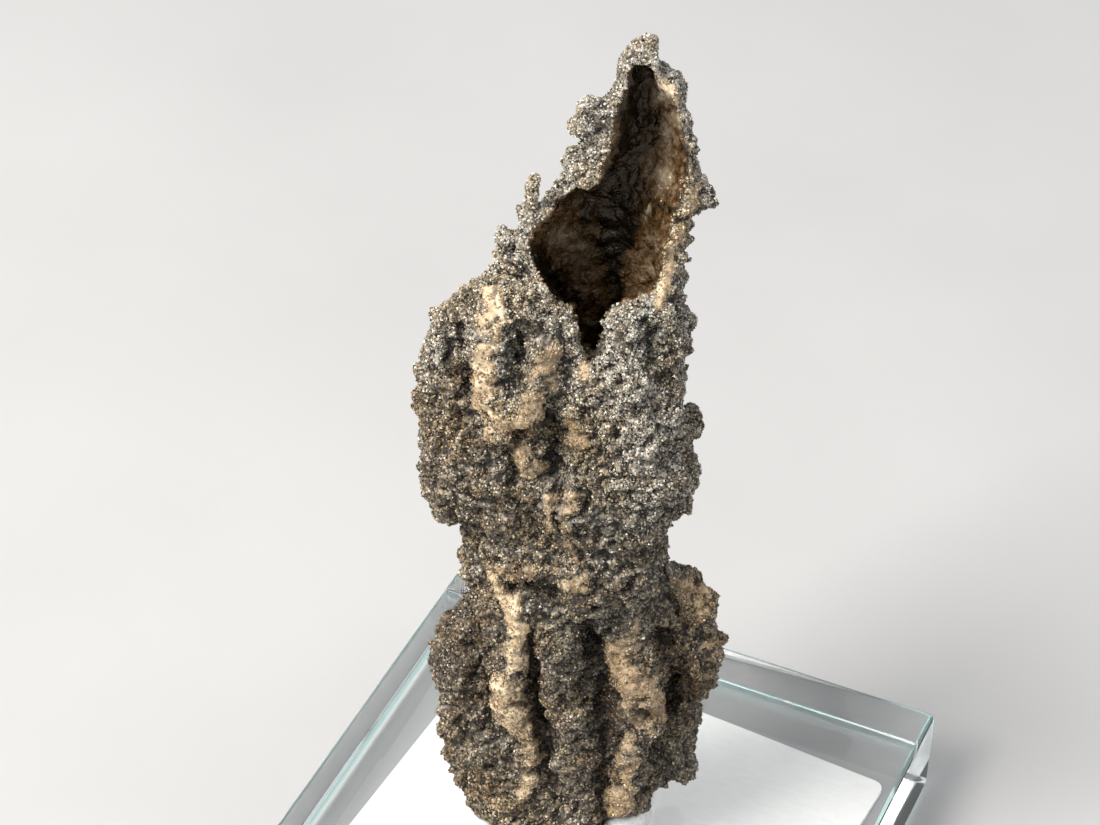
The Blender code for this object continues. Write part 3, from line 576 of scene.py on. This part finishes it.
def stroke_share(surface, side, knots, places):
    """How far each place lies from a line down the skin, as a share of the line's radius."""
    line = []
    for start, end in zip(knots, knots[1:]):
        pieces = max(1, round(math.dist(start[:2], end[:2]) / STROKE_STEP))
        line += [Vector(start).lerp(Vector(end), i / pieces) for i in range(pieces)]
    line.append(Vector(knots[-1]))
    hits = [facing_hit(surface, side, x, z) for x, z, _ in line]
    tree = KDTree(len(line))
    for i, hit in enumerate(hits):
        tree.insert(hit, i)
    tree.balance()
    reach = 1.5 * max(knot[2] for knot in knots)
    spots = np.array([tuple(hit) for hit in hits])
    inside = (places > spots.min(axis=0) - reach) & (places < spots.max(axis=0) + reach)
    share = np.full(len(places), 9.0)
    for k in np.flatnonzero(inside.all(axis=1)):
        _, i, distance = tree.find(places[k])
        share[k] = distance / line[i][2]
    return share


def knobbly(places, size, depth=2):
    """Rounded lumps with sharp creases between them, about 0."""
    return 2.4 * np.abs(lumpiness(places, size, depth)) - 0.5


def thickness(surface, places, facing):
    """How thick the glass is under each place, in millimetres, up to THICK."""
    deep = np.full(len(places), THICK)
    for k, (place, out) in enumerate(zip(places, facing)):
        inward = -Vector(out)
        start = Vector(place) * MM + inward * 0.02 * MM
        across = surface.ray_cast(start, inward, THICK * MM)[3]
        if across is not None:
            deep[k] = across / MM
    return deep


# The seed sets how drawn edges wander. Each lumpiness below adds a number of its own to the
# points, so that no two of them lie alike.
noise.seed_set(WANDER_SEED)
points = coords(mesh)
facing = normals(mesh)
surface = BVHTree.FromObject(body, bpy.context.evaluated_depsgraph_get())
ragged = wandered(wandered(points, *LARGE_BENDS), *SMALL_BENDS)

# The wall of the hollow is what lies within its form and faces its middle.
heights, mid_x, mid_y, half_x, half_y = np.array(HOLLOW).T
level = points[:, 2]
to_mid_x = np.interp(level, heights, mid_x) - points[:, 0]
to_mid_y = np.interp(level, heights, mid_y) - points[:, 1]
reach = np.hypot(to_mid_x / (np.interp(level, heights, half_x) + HOLLOW_MARGIN),
                 to_mid_y / (np.interp(level, heights, half_y) + HOLLOW_MARGIN))
inward = facing[:, 0] * to_mid_x + facing[:, 1] * to_mid_y
inside = (reach < 1.0) & (inward > 0.25 * np.hypot(to_mid_x, to_mid_y))
inside &= (level > heights[0]) & (level < heights[-1])
hollow = ease(spread(inside.astype(float), HOLLOW_SOFTENS), 0.35, 0.7)
rim = (1.0 - hollow) * ease(spread(inside.astype(float), RIM_SPREADS), 0.02, 0.3)

patchy = lumpiness(points + 23.0, 1.5, 3)
glaze = np.zeros(len(points))
raised = np.zeros(len(points))
cream = np.zeros(len(points))
for side, proud, paleness, knots in SEAMS:
    share = stroke_share(surface, side, knots, ragged) * (1.0 - 0.5 * patchy)
    glaze = np.maximum(glaze, ease(share, 1.25, 0.55))
    cream = np.where(share < 1.5, np.maximum(cream, paleness), cream)
    raised = np.maximum(raised, proud * np.clip(1.2 - share * share, 0.0, 1.0))
glaze *= (1.0 - hollow) * ease(patchy, -0.6, -0.2)

sunk = np.zeros(len(points))
inset = np.zeros_like(points)
for side, depth, knots in GROOVES:
    share = stroke_share(surface, side, knots, ragged)
    dent = depth * np.clip(1.0 - share * share / 1.7, 0.0, 1.0)
    inset[:, 1] = np.where(np.abs(inset[:, 1]) > dent, inset[:, 1], -side * dent)
    sunk = np.maximum(sunk, 0.7 * dent / depth)
for side, x, z, radius, depth in HOLES:
    middle = facing_hit(surface, side, x, z)
    share = np.linalg.norm(ragged - np.array(middle), axis=1) / radius
    dent = depth * np.clip(1.0 - share * share / 1.7, 0.0, 1.0) ** 1.5
    inset[:, 1] -= side * dent
    sunk = np.maximum(sunk, dent / depth)
glaze *= 1.0 - 0.8 * sunk

crust = (1.0 - hollow) * (1.0 - GLAZE_SMOOTHS * glaze)
turned = wandered(points, *LUMP_BENDS)
lumps = LUMP_HEIGHT * lumpiness(turned, LUMP_SIZE, 2, 1.2)
knots = KNOT_HEIGHT * knobbly(turned + 31.0, KNOT_SIZE)
knurls = KNURL_HEIGHT * knobbly(turned - 47.0, KNURL_SIZE)
pocks = POCK_DEPTH * np.clip(lumpiness(points - 17.0, POCK_SIZE) - 0.25, 0.0, 1.0)
blisters = BLISTER_HEIGHT * knobbly(turned + 57.0, BLISTER_SIZE)
ripples = RIPPLE_HEIGHT * knobbly(points + 91.0, RIPPLE_SIZE)
spikes = ease(points[:, 0], *SPIKES_LEFT) * ease(level, *SPIKES_UP)
thin = np.maximum(np.maximum(rim, ease(level, *TIP_THINS)), spikes)
crust *= 1.0 - EDGE_SMOOTHS * thin
push = (crust * (lumps + knots + knurls - pocks) + raised - EDGE_TRIM * thin
        + hollow * (blisters + ripples))
deep = spread(thickness(surface, points, facing), 2)
push = np.maximum(push, -SINK_SHARE * deep) + 0.5 * np.clip(THIN - deep, 0.0, THIN)
shaped = points + facing * push[:, None] + inset
for x, z, reach, along, up in LEANINGS:
    near = np.exp(-((shaped[:, 0] - x) ** 2 + (shaped[:, 2] - z) ** 2) / reach ** 2)
    shaped += near[:, None] * np.array((along, 0.0, up))
foot = points[:, 2].min()
shaped[:, 2] = np.where(points[:, 2] < foot + 0.2, np.maximum(shaped[:, 2], foot), shaped[:, 2])
put(mesh, shaped)

# How far each point stands above the skin around it: the dips get painted shade from it, and pale
# grains gather on the crests.
facing = normals(mesh)
crest = np.zeros(len(points))
for rounds, gain in ((5, 2.6), (40, 1.0)):
    blurred = np.stack([spread(shaped[:, i], rounds) for i in range(3)], axis=1)
    crest += gain * ((shaped - blurred) * facing).sum(axis=1)
crest = np.clip(0.5 + crest, 0.0, 1.0)


def patches(rows, across, heights):
    """How strongly each point lies in soft patches, from its place across and its height."""
    total = np.zeros(len(heights))
    for x, height, half_width, half_height, much in rows:
        far = ((across - x) / half_width) ** 2 + ((heights - height) / half_height) ** 2
        total = np.maximum(total, much * np.exp(-far))
    return total


x, y, z = shaped.T
front = ease(y, 3.0, 0.0)
drift = lumpiness(ragged + 11.0, 3.6, 3)
across, away, upright = ragged.T
seen = away * math.sin(LOOK_DOWN) + upright * math.cos(LOOK_DOWN)
# Each tone is its patches, its trends with height and depth and some of the slow drift.
pale = (front * patches(PALE_AND_LIT_PATCHES, across, upright) + 0.6 * rim + 0.2 * ease(z, 70.0, 86.0)
        + 0.45 * drift)
tan = front * patches(TAN_AND_LIT_PATCHES, across, upright) + 0.2 * ease(x, 4.0, -6.0) - 0.6 * drift
blue = front * patches(BLUE_PATCHES, across, upright)
# dark is partly painted shade: over the grooves and holes (sunk) and over the first five of its
# patches. It also darkens towards the bottom and the back, and at random.
dark = (front * patches(DARK_AND_SHADE_PATCHES, across, upright) + 0.2 * ease(z, 54.0, 40.0)
        + 0.1 * ease(y, 1.0, 6.0) + 0.5 * sunk + 0.5 * lumpiness(points + 5.0, 2.4, 3))
# lit is painted light and shade on the glass of the hollow, with some of the slow drift.
lit = (0.4 + patches(PALE_AND_LIT_GLASS, across, seen) - patches(BLACK_AND_SHADED_GLASS, across, seen)
       + 0.12 * drift)

skin_facts = {"hollow": hollow, "glaze": glaze, "crest": crest, "pale": pale, "tan": tan,
              "blue": blue, "dark": dark, "lit": lit, "cream": cream}


def note(mesh, name, values):
    """Keeps a value for each vertex on the mesh, under a name."""
    fact = mesh.attributes.new(name, "FLOAT", "POINT")
    fact.data.foreach_set("value", values.astype(np.float32))


for name, values in skin_facts.items():
    note(mesh, name, np.clip(values, 0.0, 1.0))
mesh.transform(to_frame)
mesh.shade_smooth()


def fact_of(tree, name):
    """What the mesh knows of each point under a name, as a value from 0 to 1."""
    made = tree.nodes.new("ShaderNodeAttribute")
    made.attribute_name = name
    return made.outputs["Fac"]


def feed(tree, value, entry):
    """Gives an input its value: a link from a socket, or a plain number or colour."""
    if isinstance(value, bpy.types.NodeSocket):
        tree.links.new(value, entry)
    else:
        entry.default_value = value


def blend(tree, share, under, over, mode="MIX"):
    """Lays one colour on another by a share."""
    made = tree.nodes.new("ShaderNodeMix")
    made.data_type = "RGBA"
    made.blend_type = mode
    feed(tree, share, made.inputs[0])
    feed(tree, under, made.inputs[6])
    feed(tree, over, made.inputs[7])
    return made.outputs[2]


def sums(tree, operation, first, second, clamp=True):
    """Adds, subtracts or multiplies two values."""
    made = tree.nodes.new("ShaderNodeMath")
    made.operation = operation
    made.use_clamp = clamp
    feed(tree, first, made.inputs[0])
    feed(tree, second, made.inputs[1])
    return made.outputs[0]


CRUST_BLACK = (0.010, 0.008, 0.006, 1.0)
CRUST_BROWN = (0.042, 0.033, 0.022, 1.0)
CRUST_TAUPE = (0.105, 0.086, 0.060, 1.0)
CRUST_CREAM = (0.250, 0.214, 0.162, 1.0)
CRUST_WHITE = (0.520, 0.485, 0.415, 1.0)
GLAZE_BROWN = (0.145, 0.100, 0.058, 1.0)
GLAZE_TAN = (0.350, 0.250, 0.148, 1.0)
GLAZE_CREAM = (0.620, 0.500, 0.330, 1.0)
GLASS_BLACK = (0.004, 0.003, 0.002, 1.0)
GLASS_BROWN = (0.056, 0.029, 0.0105, 1.0)
GLASS_TAN = (0.200, 0.160, 0.112, 1.0)
GLASS_SHEEN = (1.0, 0.80, 0.57, 1.0)
WARM = (1.0, 0.89, 0.70, 1.0)
COOL = (0.66, 0.74, 0.78, 1.0)
# This tint darkens where dark is high, and so it is partly painted shade.
DARK_AND_SHADE_TINT = (0.46, 0.37, 0.26, 1.0)
GRAIN_CELL = 0.30 * MM
MOTTLE_SIZE = 0.9 * MM
STREAK_SIZE = 1.1 * MM
FROTH_SIZE = 0.8 * MM
GRIT_DEPTH = 0.16 * MM


def grey(value):
    """A grey of one brightness."""
    return (value, value, value, 1.0)


def tinted(tree, colour):
    """Warms, cools and darkens a colour as far as each point of the skin asks for; the darkening is
    partly painted shade.
    """
    for fact, tint in (("tan", WARM), ("blue", COOL), ("dark", DARK_AND_SHADE_TINT)):
        full = blend(tree, 1.0, colour, tint, "MULTIPLY")
        colour = blend(tree, fact_of(tree, fact), colour, full)
    return colour


skin, tree, shader, place = new_material("fused_sand_skin")

# The crust: grain-sized cells of their own tones, over a soft mottle.
cells = tree.nodes.new("ShaderNodeTexVoronoi")
cells.inputs["Scale"].default_value = 1.0 / GRAIN_CELL
tree.links.new(place, cells.inputs["Vector"])
apart = tree.nodes.new("ShaderNodeSeparateColor")
tree.links.new(cells.outputs["Color"], apart.inputs["Color"])
gaps = ramp(tree, cells.outputs["Distance"], ((0.35, grey(1.0)), (0.75, grey(0.55))))
mottle = cloud(tree, place, MOTTLE_SIZE, detail=5.0, rough=0.65)
tone = sums(tree, "ADD", sums(tree, "MULTIPLY", apart.outputs["Red"], 0.55),
            sums(tree, "MULTIPLY", mottle, 0.45))
tone = sums(tree, "ADD", tone, sums(tree, "MULTIPLY", fact_of(tree, "pale"), 0.30))
crust_colour = ramp(tree, tone, ((0.22, CRUST_BLACK), (0.38, CRUST_BROWN), (0.52, CRUST_TAUPE),
                                 (0.70, CRUST_CREAM), (0.90, CRUST_WHITE)))
crust_colour = blend(tree, 1.0, crust_colour, gaps, "MULTIPLY")

# The bare glass of the seams lies over the tinted crust, and the dips of both are darkened with painted
# shade.
streak = cloud(tree, place, STREAK_SIZE, detail=5.0, rough=0.65)
streak = sums(tree, "ADD", streak, sums(tree, "MULTIPLY", fact_of(tree, "cream"), 0.24))
glaze_colour = ramp(tree, streak, ((0.42, GLAZE_BROWN), (0.64, GLAZE_TAN), (0.86, GLAZE_CREAM)))
colour = blend(tree, fact_of(tree, "glaze"), tinted(tree, crust_colour), glaze_colour)
# Painted shade: points that lie below the skin around them are darkened.
painted_dip_shade = ramp(tree, fact_of(tree, "crest"), ((0.20, grey(0.3)), (0.60, grey(1.0))))
colour = blend(tree, 1.0, colour, painted_dip_shade, "MULTIPLY")

# The glass of the hollow, frothy where it is pale, and paler or darker with the painted light and shade
# that lit carries.
froth = cloud(tree, place, FROTH_SIZE, detail=7.0, rough=0.75)
froth = sums(tree, "ADD", froth, sums(tree, "MULTIPLY", fact_of(tree, "lit"), 0.8), False)
froth = sums(tree, "SUBTRACT", froth, 0.36)
glass_colour = ramp(tree, froth, ((0.42, GLASS_BLACK), (0.56, GLASS_BROWN), (0.84, GLASS_TAN),
                                  (1.0, GLAZE_CREAM)))
colour = blend(tree, fact_of(tree, "hollow"), colour, glass_colour)
tree.links.new(colour, shader.inputs["Base Color"])

# The crust is dull, the seams are smoother, and the hollow shines in places. Light that bounces
# about inside the hollow comes back brown.
gloss = blend(tree, fact_of(tree, "glaze"), grey(0.7), grey(0.45))
gloss = blend(tree, fact_of(tree, "hollow"), gloss,
              ramp(tree, mottle, ((0.4, grey(0.13)), (0.65, grey(0.5)))))
tree.links.new(gloss, shader.inputs["Roughness"])
shader.inputs["Specular IOR Level"].default_value = 0.45
sheen = blend(tree, fact_of(tree, "hollow"), grey(1.0), GLASS_SHEEN)
tree.links.new(sheen, shader.inputs["Specular Tint"])
grit = sums(tree, "SUBTRACT", mottle, sums(tree, "MULTIPLY", cells.outputs["Distance"], 0.5), False)
bump(tree, shader, grit, 0.8, GRIT_DEPTH)
mesh.materials.clear()
mesh.materials.append(skin)
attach(body, "root")
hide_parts("fulgurite")

# ---- Sand grains -----------------------------------------------------------------------------
# Grains of dune sand stuck in the glass skin while it was soft: clear and milky quartz, honey
# and brown stained grains, a few dark ones and half-melted tan ones along the seams. Each lies
# half sunk in the crust, at random, and they crowd on the crests.

# The half size of the smallest and the largest grains.
GRAIN_SMALL = 0.085 * MM
GRAIN_LARGE = 0.185 * MM
GRAINS_TO_A_KIND = 22000
CROWD_SIZE = 0.8
CLOUDY_SIZE = 0.12 * MM

# A point's share of the skin is its part of each face that it belongs to.
loops = listed(mesh.loops, "vertex_index", np.int32)
corners = listed(mesh.polygons, "loop_total", np.int32)
share = np.repeat(listed(mesh.polygons, "area") / corners, corners)
area_round = np.bincount(loops, weights=share, minlength=len(points))

# Grains keep out of the hollow, lie in crowds and on crests, and are few on bare glass. The palest ones
# gather on the upper right and keep out of dark places, whose darkness is partly painted shade, and
# brown ones gather there instead; dark ones gather in the dips.
crowded = ease(lumpiness(points + 71.0, CROWD_SIZE), -0.35, 0.25)
room = (1.0 - hollow) * (0.25 + 0.75 * crowded) * (0.35 + 0.65 * crest) * (1.0 - 0.85 * glaze)
upper_right_not_dark = (1.0 - 0.6 * np.clip(dark, 0.0, 1.0)) * (0.15 + 0.85 * ease(z + 0.7 * x, 46.0, 64.0))
bare = (1.0 - glaze) ** 2
# How much each kind likes each place.
grain_likings = {
    "quartz_grains": bare * (0.3 + 1.2 * crest * crest + 0.9 * pale) * upper_right_not_dark,
    "honey_grains": (1.0 - 0.5 * glaze) * (0.5 + 0.5 * crest + 1.0 * tan),
    "brown_grains": bare * (1.0 - 0.4 * crest + 0.8 * dark),
    "dark_grains": (bare * (1.1 - 0.9 * crest + 0.4 * dark) * (0.3 + 0.7 * upper_right_not_dark)
                    * (1.0 - 0.5 * thin)),
    "seam_grains": 0.06 + 1.2 * glaze + 0.5 * rim + 0.15 * tan,
}
for name, liking in grain_likings.items():
    per_area = room * np.clip(liking, 0.02, 3.0)
    note(mesh, name, per_area * (GRAINS_TO_A_KIND / (per_area * area_round).sum()))

# A grain is an eight-sided form.
bm = bmesh.new()
bmesh.ops.create_uvsphere(bm, u_segments=4, v_segments=2, radius=1.0)
grain_form = piece_from(bm, "grain_form")


def grain_scatter(name, seed):
    """Geometry nodes that strew grains of one kind over the skin and keep the grains alone."""
    tree = bpy.data.node_groups.new(name, "GeometryNodeTree")
    tree.interface.new_socket("Geometry", in_out="INPUT", socket_type="NodeSocketGeometry")
    tree.interface.new_socket("Geometry", in_out="OUTPUT", socket_type="NodeSocketGeometry")
    made = {}
    for kind in ("NodeGroupInput", "GeometryNodeDistributePointsOnFaces",
                 "GeometryNodeInputNamedAttribute", "GeometryNodeStoreNamedAttribute",
                 "GeometryNodeInstanceOnPoints", "GeometryNodeObjectInfo",
                 "GeometryNodeRealizeInstances", "NodeGroupOutput"):
        made[kind.replace("GeometryNode", "")] = tree.nodes.new(kind)
    drop = made["DistributePointsOnFaces"]
    drop.distribute_method = "RANDOM"
    drop.inputs["Seed"].default_value = seed
    made["InputNamedAttribute"].data_type = "FLOAT"
    made["InputNamedAttribute"].inputs["Name"].default_value = name
    tree.links.new(made["InputNamedAttribute"].outputs["Attribute"], drop.inputs["Density"])
    tree.links.new(made["NodeGroupInput"].outputs["Geometry"], drop.inputs["Mesh"])

    def random_value(kind, low, high, step):
        """A value of its own for each grain, from low to high."""
        node = tree.nodes.new("FunctionNodeRandomValue")
        node.data_type = kind
        slots = {"FLOAT": (2, 3, 1), "FLOAT_VECTOR": (0, 1, 0)}[kind]
        node.inputs[slots[0]].default_value = low
        node.inputs[slots[1]].default_value = high
        node.inputs["Seed"].default_value = seed + step
        return node.outputs[slots[2]]

    tone = made["StoreNamedAttribute"]
    tone.data_type = "FLOAT"
    tone.domain = "POINT"
    tone.inputs["Name"].default_value = "tone"
    tree.links.new(drop.outputs["Points"], tone.inputs["Geometry"])
    tree.links.new(random_value("FLOAT", 0.0, 1.0, 1), tone.inputs["Value"])
    lay = made["InstanceOnPoints"]
    made["ObjectInfo"].inputs["Object"].default_value = grain_form
    tree.links.new(tone.outputs["Geometry"], lay.inputs["Points"])
    tree.links.new(made["ObjectInfo"].outputs["Geometry"], lay.inputs["Instance"])
    turn = random_value("FLOAT_VECTOR", (0.0, 0.0, 0.0), (math.tau,) * 3, 2)
    tree.links.new(turn, lay.inputs["Rotation"])
    size = random_value("FLOAT_VECTOR", (GRAIN_SMALL,) * 3, (GRAIN_LARGE,) * 3, 3)
    tree.links.new(size, lay.inputs["Scale"])
    tree.links.new(lay.outputs["Instances"], made["RealizeInstances"].inputs["Geometry"])
    tree.links.new(made["RealizeInstances"].outputs["Geometry"],
                   made["NodeGroupOutput"].inputs["Geometry"])
    return tree


# Each kind's colours, from its darkest grains to its palest, and its gloss.
GRAIN_LOOKS = {
    "quartz_grains": (((0.16, 0.145, 0.12), (0.29, 0.268, 0.225), (0.62, 0.59, 0.52)), 0.3),
    "honey_grains": (((0.064, 0.048, 0.029), (0.146, 0.113, 0.070), (0.30, 0.245, 0.16)), 0.34),
    "brown_grains": (((0.024, 0.019, 0.012), (0.060, 0.048, 0.031), (0.14, 0.113, 0.076)), 0.42),
    "dark_grains": (((0.006, 0.005, 0.004), (0.016, 0.013, 0.010), (0.045, 0.036, 0.026)), 0.34),
    "seam_grains": (((0.17, 0.120, 0.070), (0.31, 0.23, 0.14), (0.52, 0.43, 0.29)), 0.36),
}
for seed, (name, (tones, gloss)) in enumerate(GRAIN_LOOKS.items(), 1):
    grains = bpy.data.objects.new(name, mesh.copy())
    bpy.context.scene.collection.objects.link(grains)
    strew = grains.modifiers.new("strew", "NODES")
    strew.node_group = grain_scatter(name, 100 * seed)
    applied(grains)
    stone, tree, shader, place = new_material(name.replace("grains", "sand"))
    darkest, usual, palest = ((*tone, 1.0) for tone in tones)
    grain_colour = ramp(tree, fact_of(tree, "tone"), ((0.0, darkest), (0.5, usual), (1.0, palest)))
    cloudy = ramp(tree, cloud(tree, place, CLOUDY_SIZE), ((0.35, grey(0.55)), (0.6, grey(1.0))))
    grain_colour = blend(tree, 1.0, grain_colour, cloudy, "MULTIPLY")
    tree.links.new(tinted(tree, grain_colour), shader.inputs["Base Color"])
    shader.inputs["Roughness"].default_value = gloss
    grains.data.materials.clear()
    grains.data.materials.append(stone)
    grains.data.shade_flat()
    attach(grains, "root")
bpy.data.objects.remove(grain_form)
for name in grain_likings:
    mesh.attributes.remove(mesh.attributes[name])

# ---- Floor, light and camera -----------------------------------------------------------------
# A pale table top, a wide soft lamp high on the left, a weak one on the right and a pale room.

FLOOR_SIDE = 3.0
FLOOR_PALE = (0.33, 0.325, 0.32, 1.0)
FLOOR_GREY = (0.305, 0.30, 0.295, 1.0)
FLOOR_CLOUD = 50.0 * MM
ROOM_TINT = (0.95, 0.97, 1.0, 1.0)
ROOM_STRENGTH = 0.95
# The camera looks at a place in the specimen's own frame, down onto its open side.
AIM = to_frame @ Vector((-3.4, 0.0, 58.1)) * MM
VIEW_PITCH = math.radians(40.3)
VIEW_DISTANCE = 245.0 * MM
VIEW_LENS = 98.2
VIEW_SENSOR = 36.0
VIEW_NEAR = 10.0 * MM

bm = bmesh.new()
bmesh.ops.create_grid(bm, x_segments=1, y_segments=1, size=FLOOR_SIDE / 2)
floor = piece_from(bm, "table_top")
table, tree, shader, place = new_material("pale_table")
clouded = cloud(tree, place, FLOOR_CLOUD, detail=4.0)
tree.links.new(ramp(tree, clouded, ((0.3, FLOOR_GREY), (0.7, FLOOR_PALE))), shader.inputs["Base Color"])
shader.inputs["Roughness"].default_value = 0.6
floor.data.materials.append(table)

room_light = bpy.data.worlds.new("studio")
room_light.use_nodes = True
room_light.node_tree.nodes["Background"].inputs["Color"].default_value = ROOM_TINT
room_light.node_tree.nodes["Background"].inputs["Strength"].default_value = ROOM_STRENGTH
bpy.context.scene.world = room_light


def looking_from(turn, pitch, distance, target):
    """The matrix of something that points at the target from a turn about Z (0 looks along +Y),
    a height angle and a distance."""
    back = Vector((math.sin(turn) * math.cos(pitch), -math.cos(turn) * math.cos(pitch),
                   math.sin(pitch)))
    facing = (-back).to_track_quat("-Z", "Y").to_matrix().to_4x4()
    return Matrix.Translation(target + back * distance) @ facing


def lamp(name, turn, pitch, distance, size, power, colour):
    """A square soft lamp that points at the specimen, its angles in degrees."""
    light = bpy.data.lights.new(name, "AREA")
    light.shape = "SQUARE"
    light.size = size
    light.energy = power
    light.color = colour
    made = bpy.data.objects.new(name, light)
    bpy.context.scene.collection.objects.link(made)
    made.matrix_world = looking_from(math.radians(turn), math.radians(pitch), distance, AIM)


lamp("key", turn=-35.0, pitch=52.0, distance=0.6, size=0.26, power=9.0, colour=(1.0, 0.975, 0.94))
lamp("fill", turn=100.0, pitch=35.0, distance=0.7, size=0.5, power=1.3, colour=(0.92, 0.96, 1.0))

camera_lens = bpy.data.cameras.new("camera")
camera_lens.lens = VIEW_LENS
camera_lens.sensor_width = VIEW_SENSOR
camera_lens.clip_start = VIEW_NEAR
camera = bpy.data.objects.new("camera", camera_lens)
bpy.context.scene.collection.objects.link(camera)
camera.matrix_world = looking_from(FACE_TURN, VIEW_PITCH, VIEW_DISTANCE, AIM)
bpy.context.scene.camera = camera
bpy.context.scene.view_settings.view_transform = "Standard"
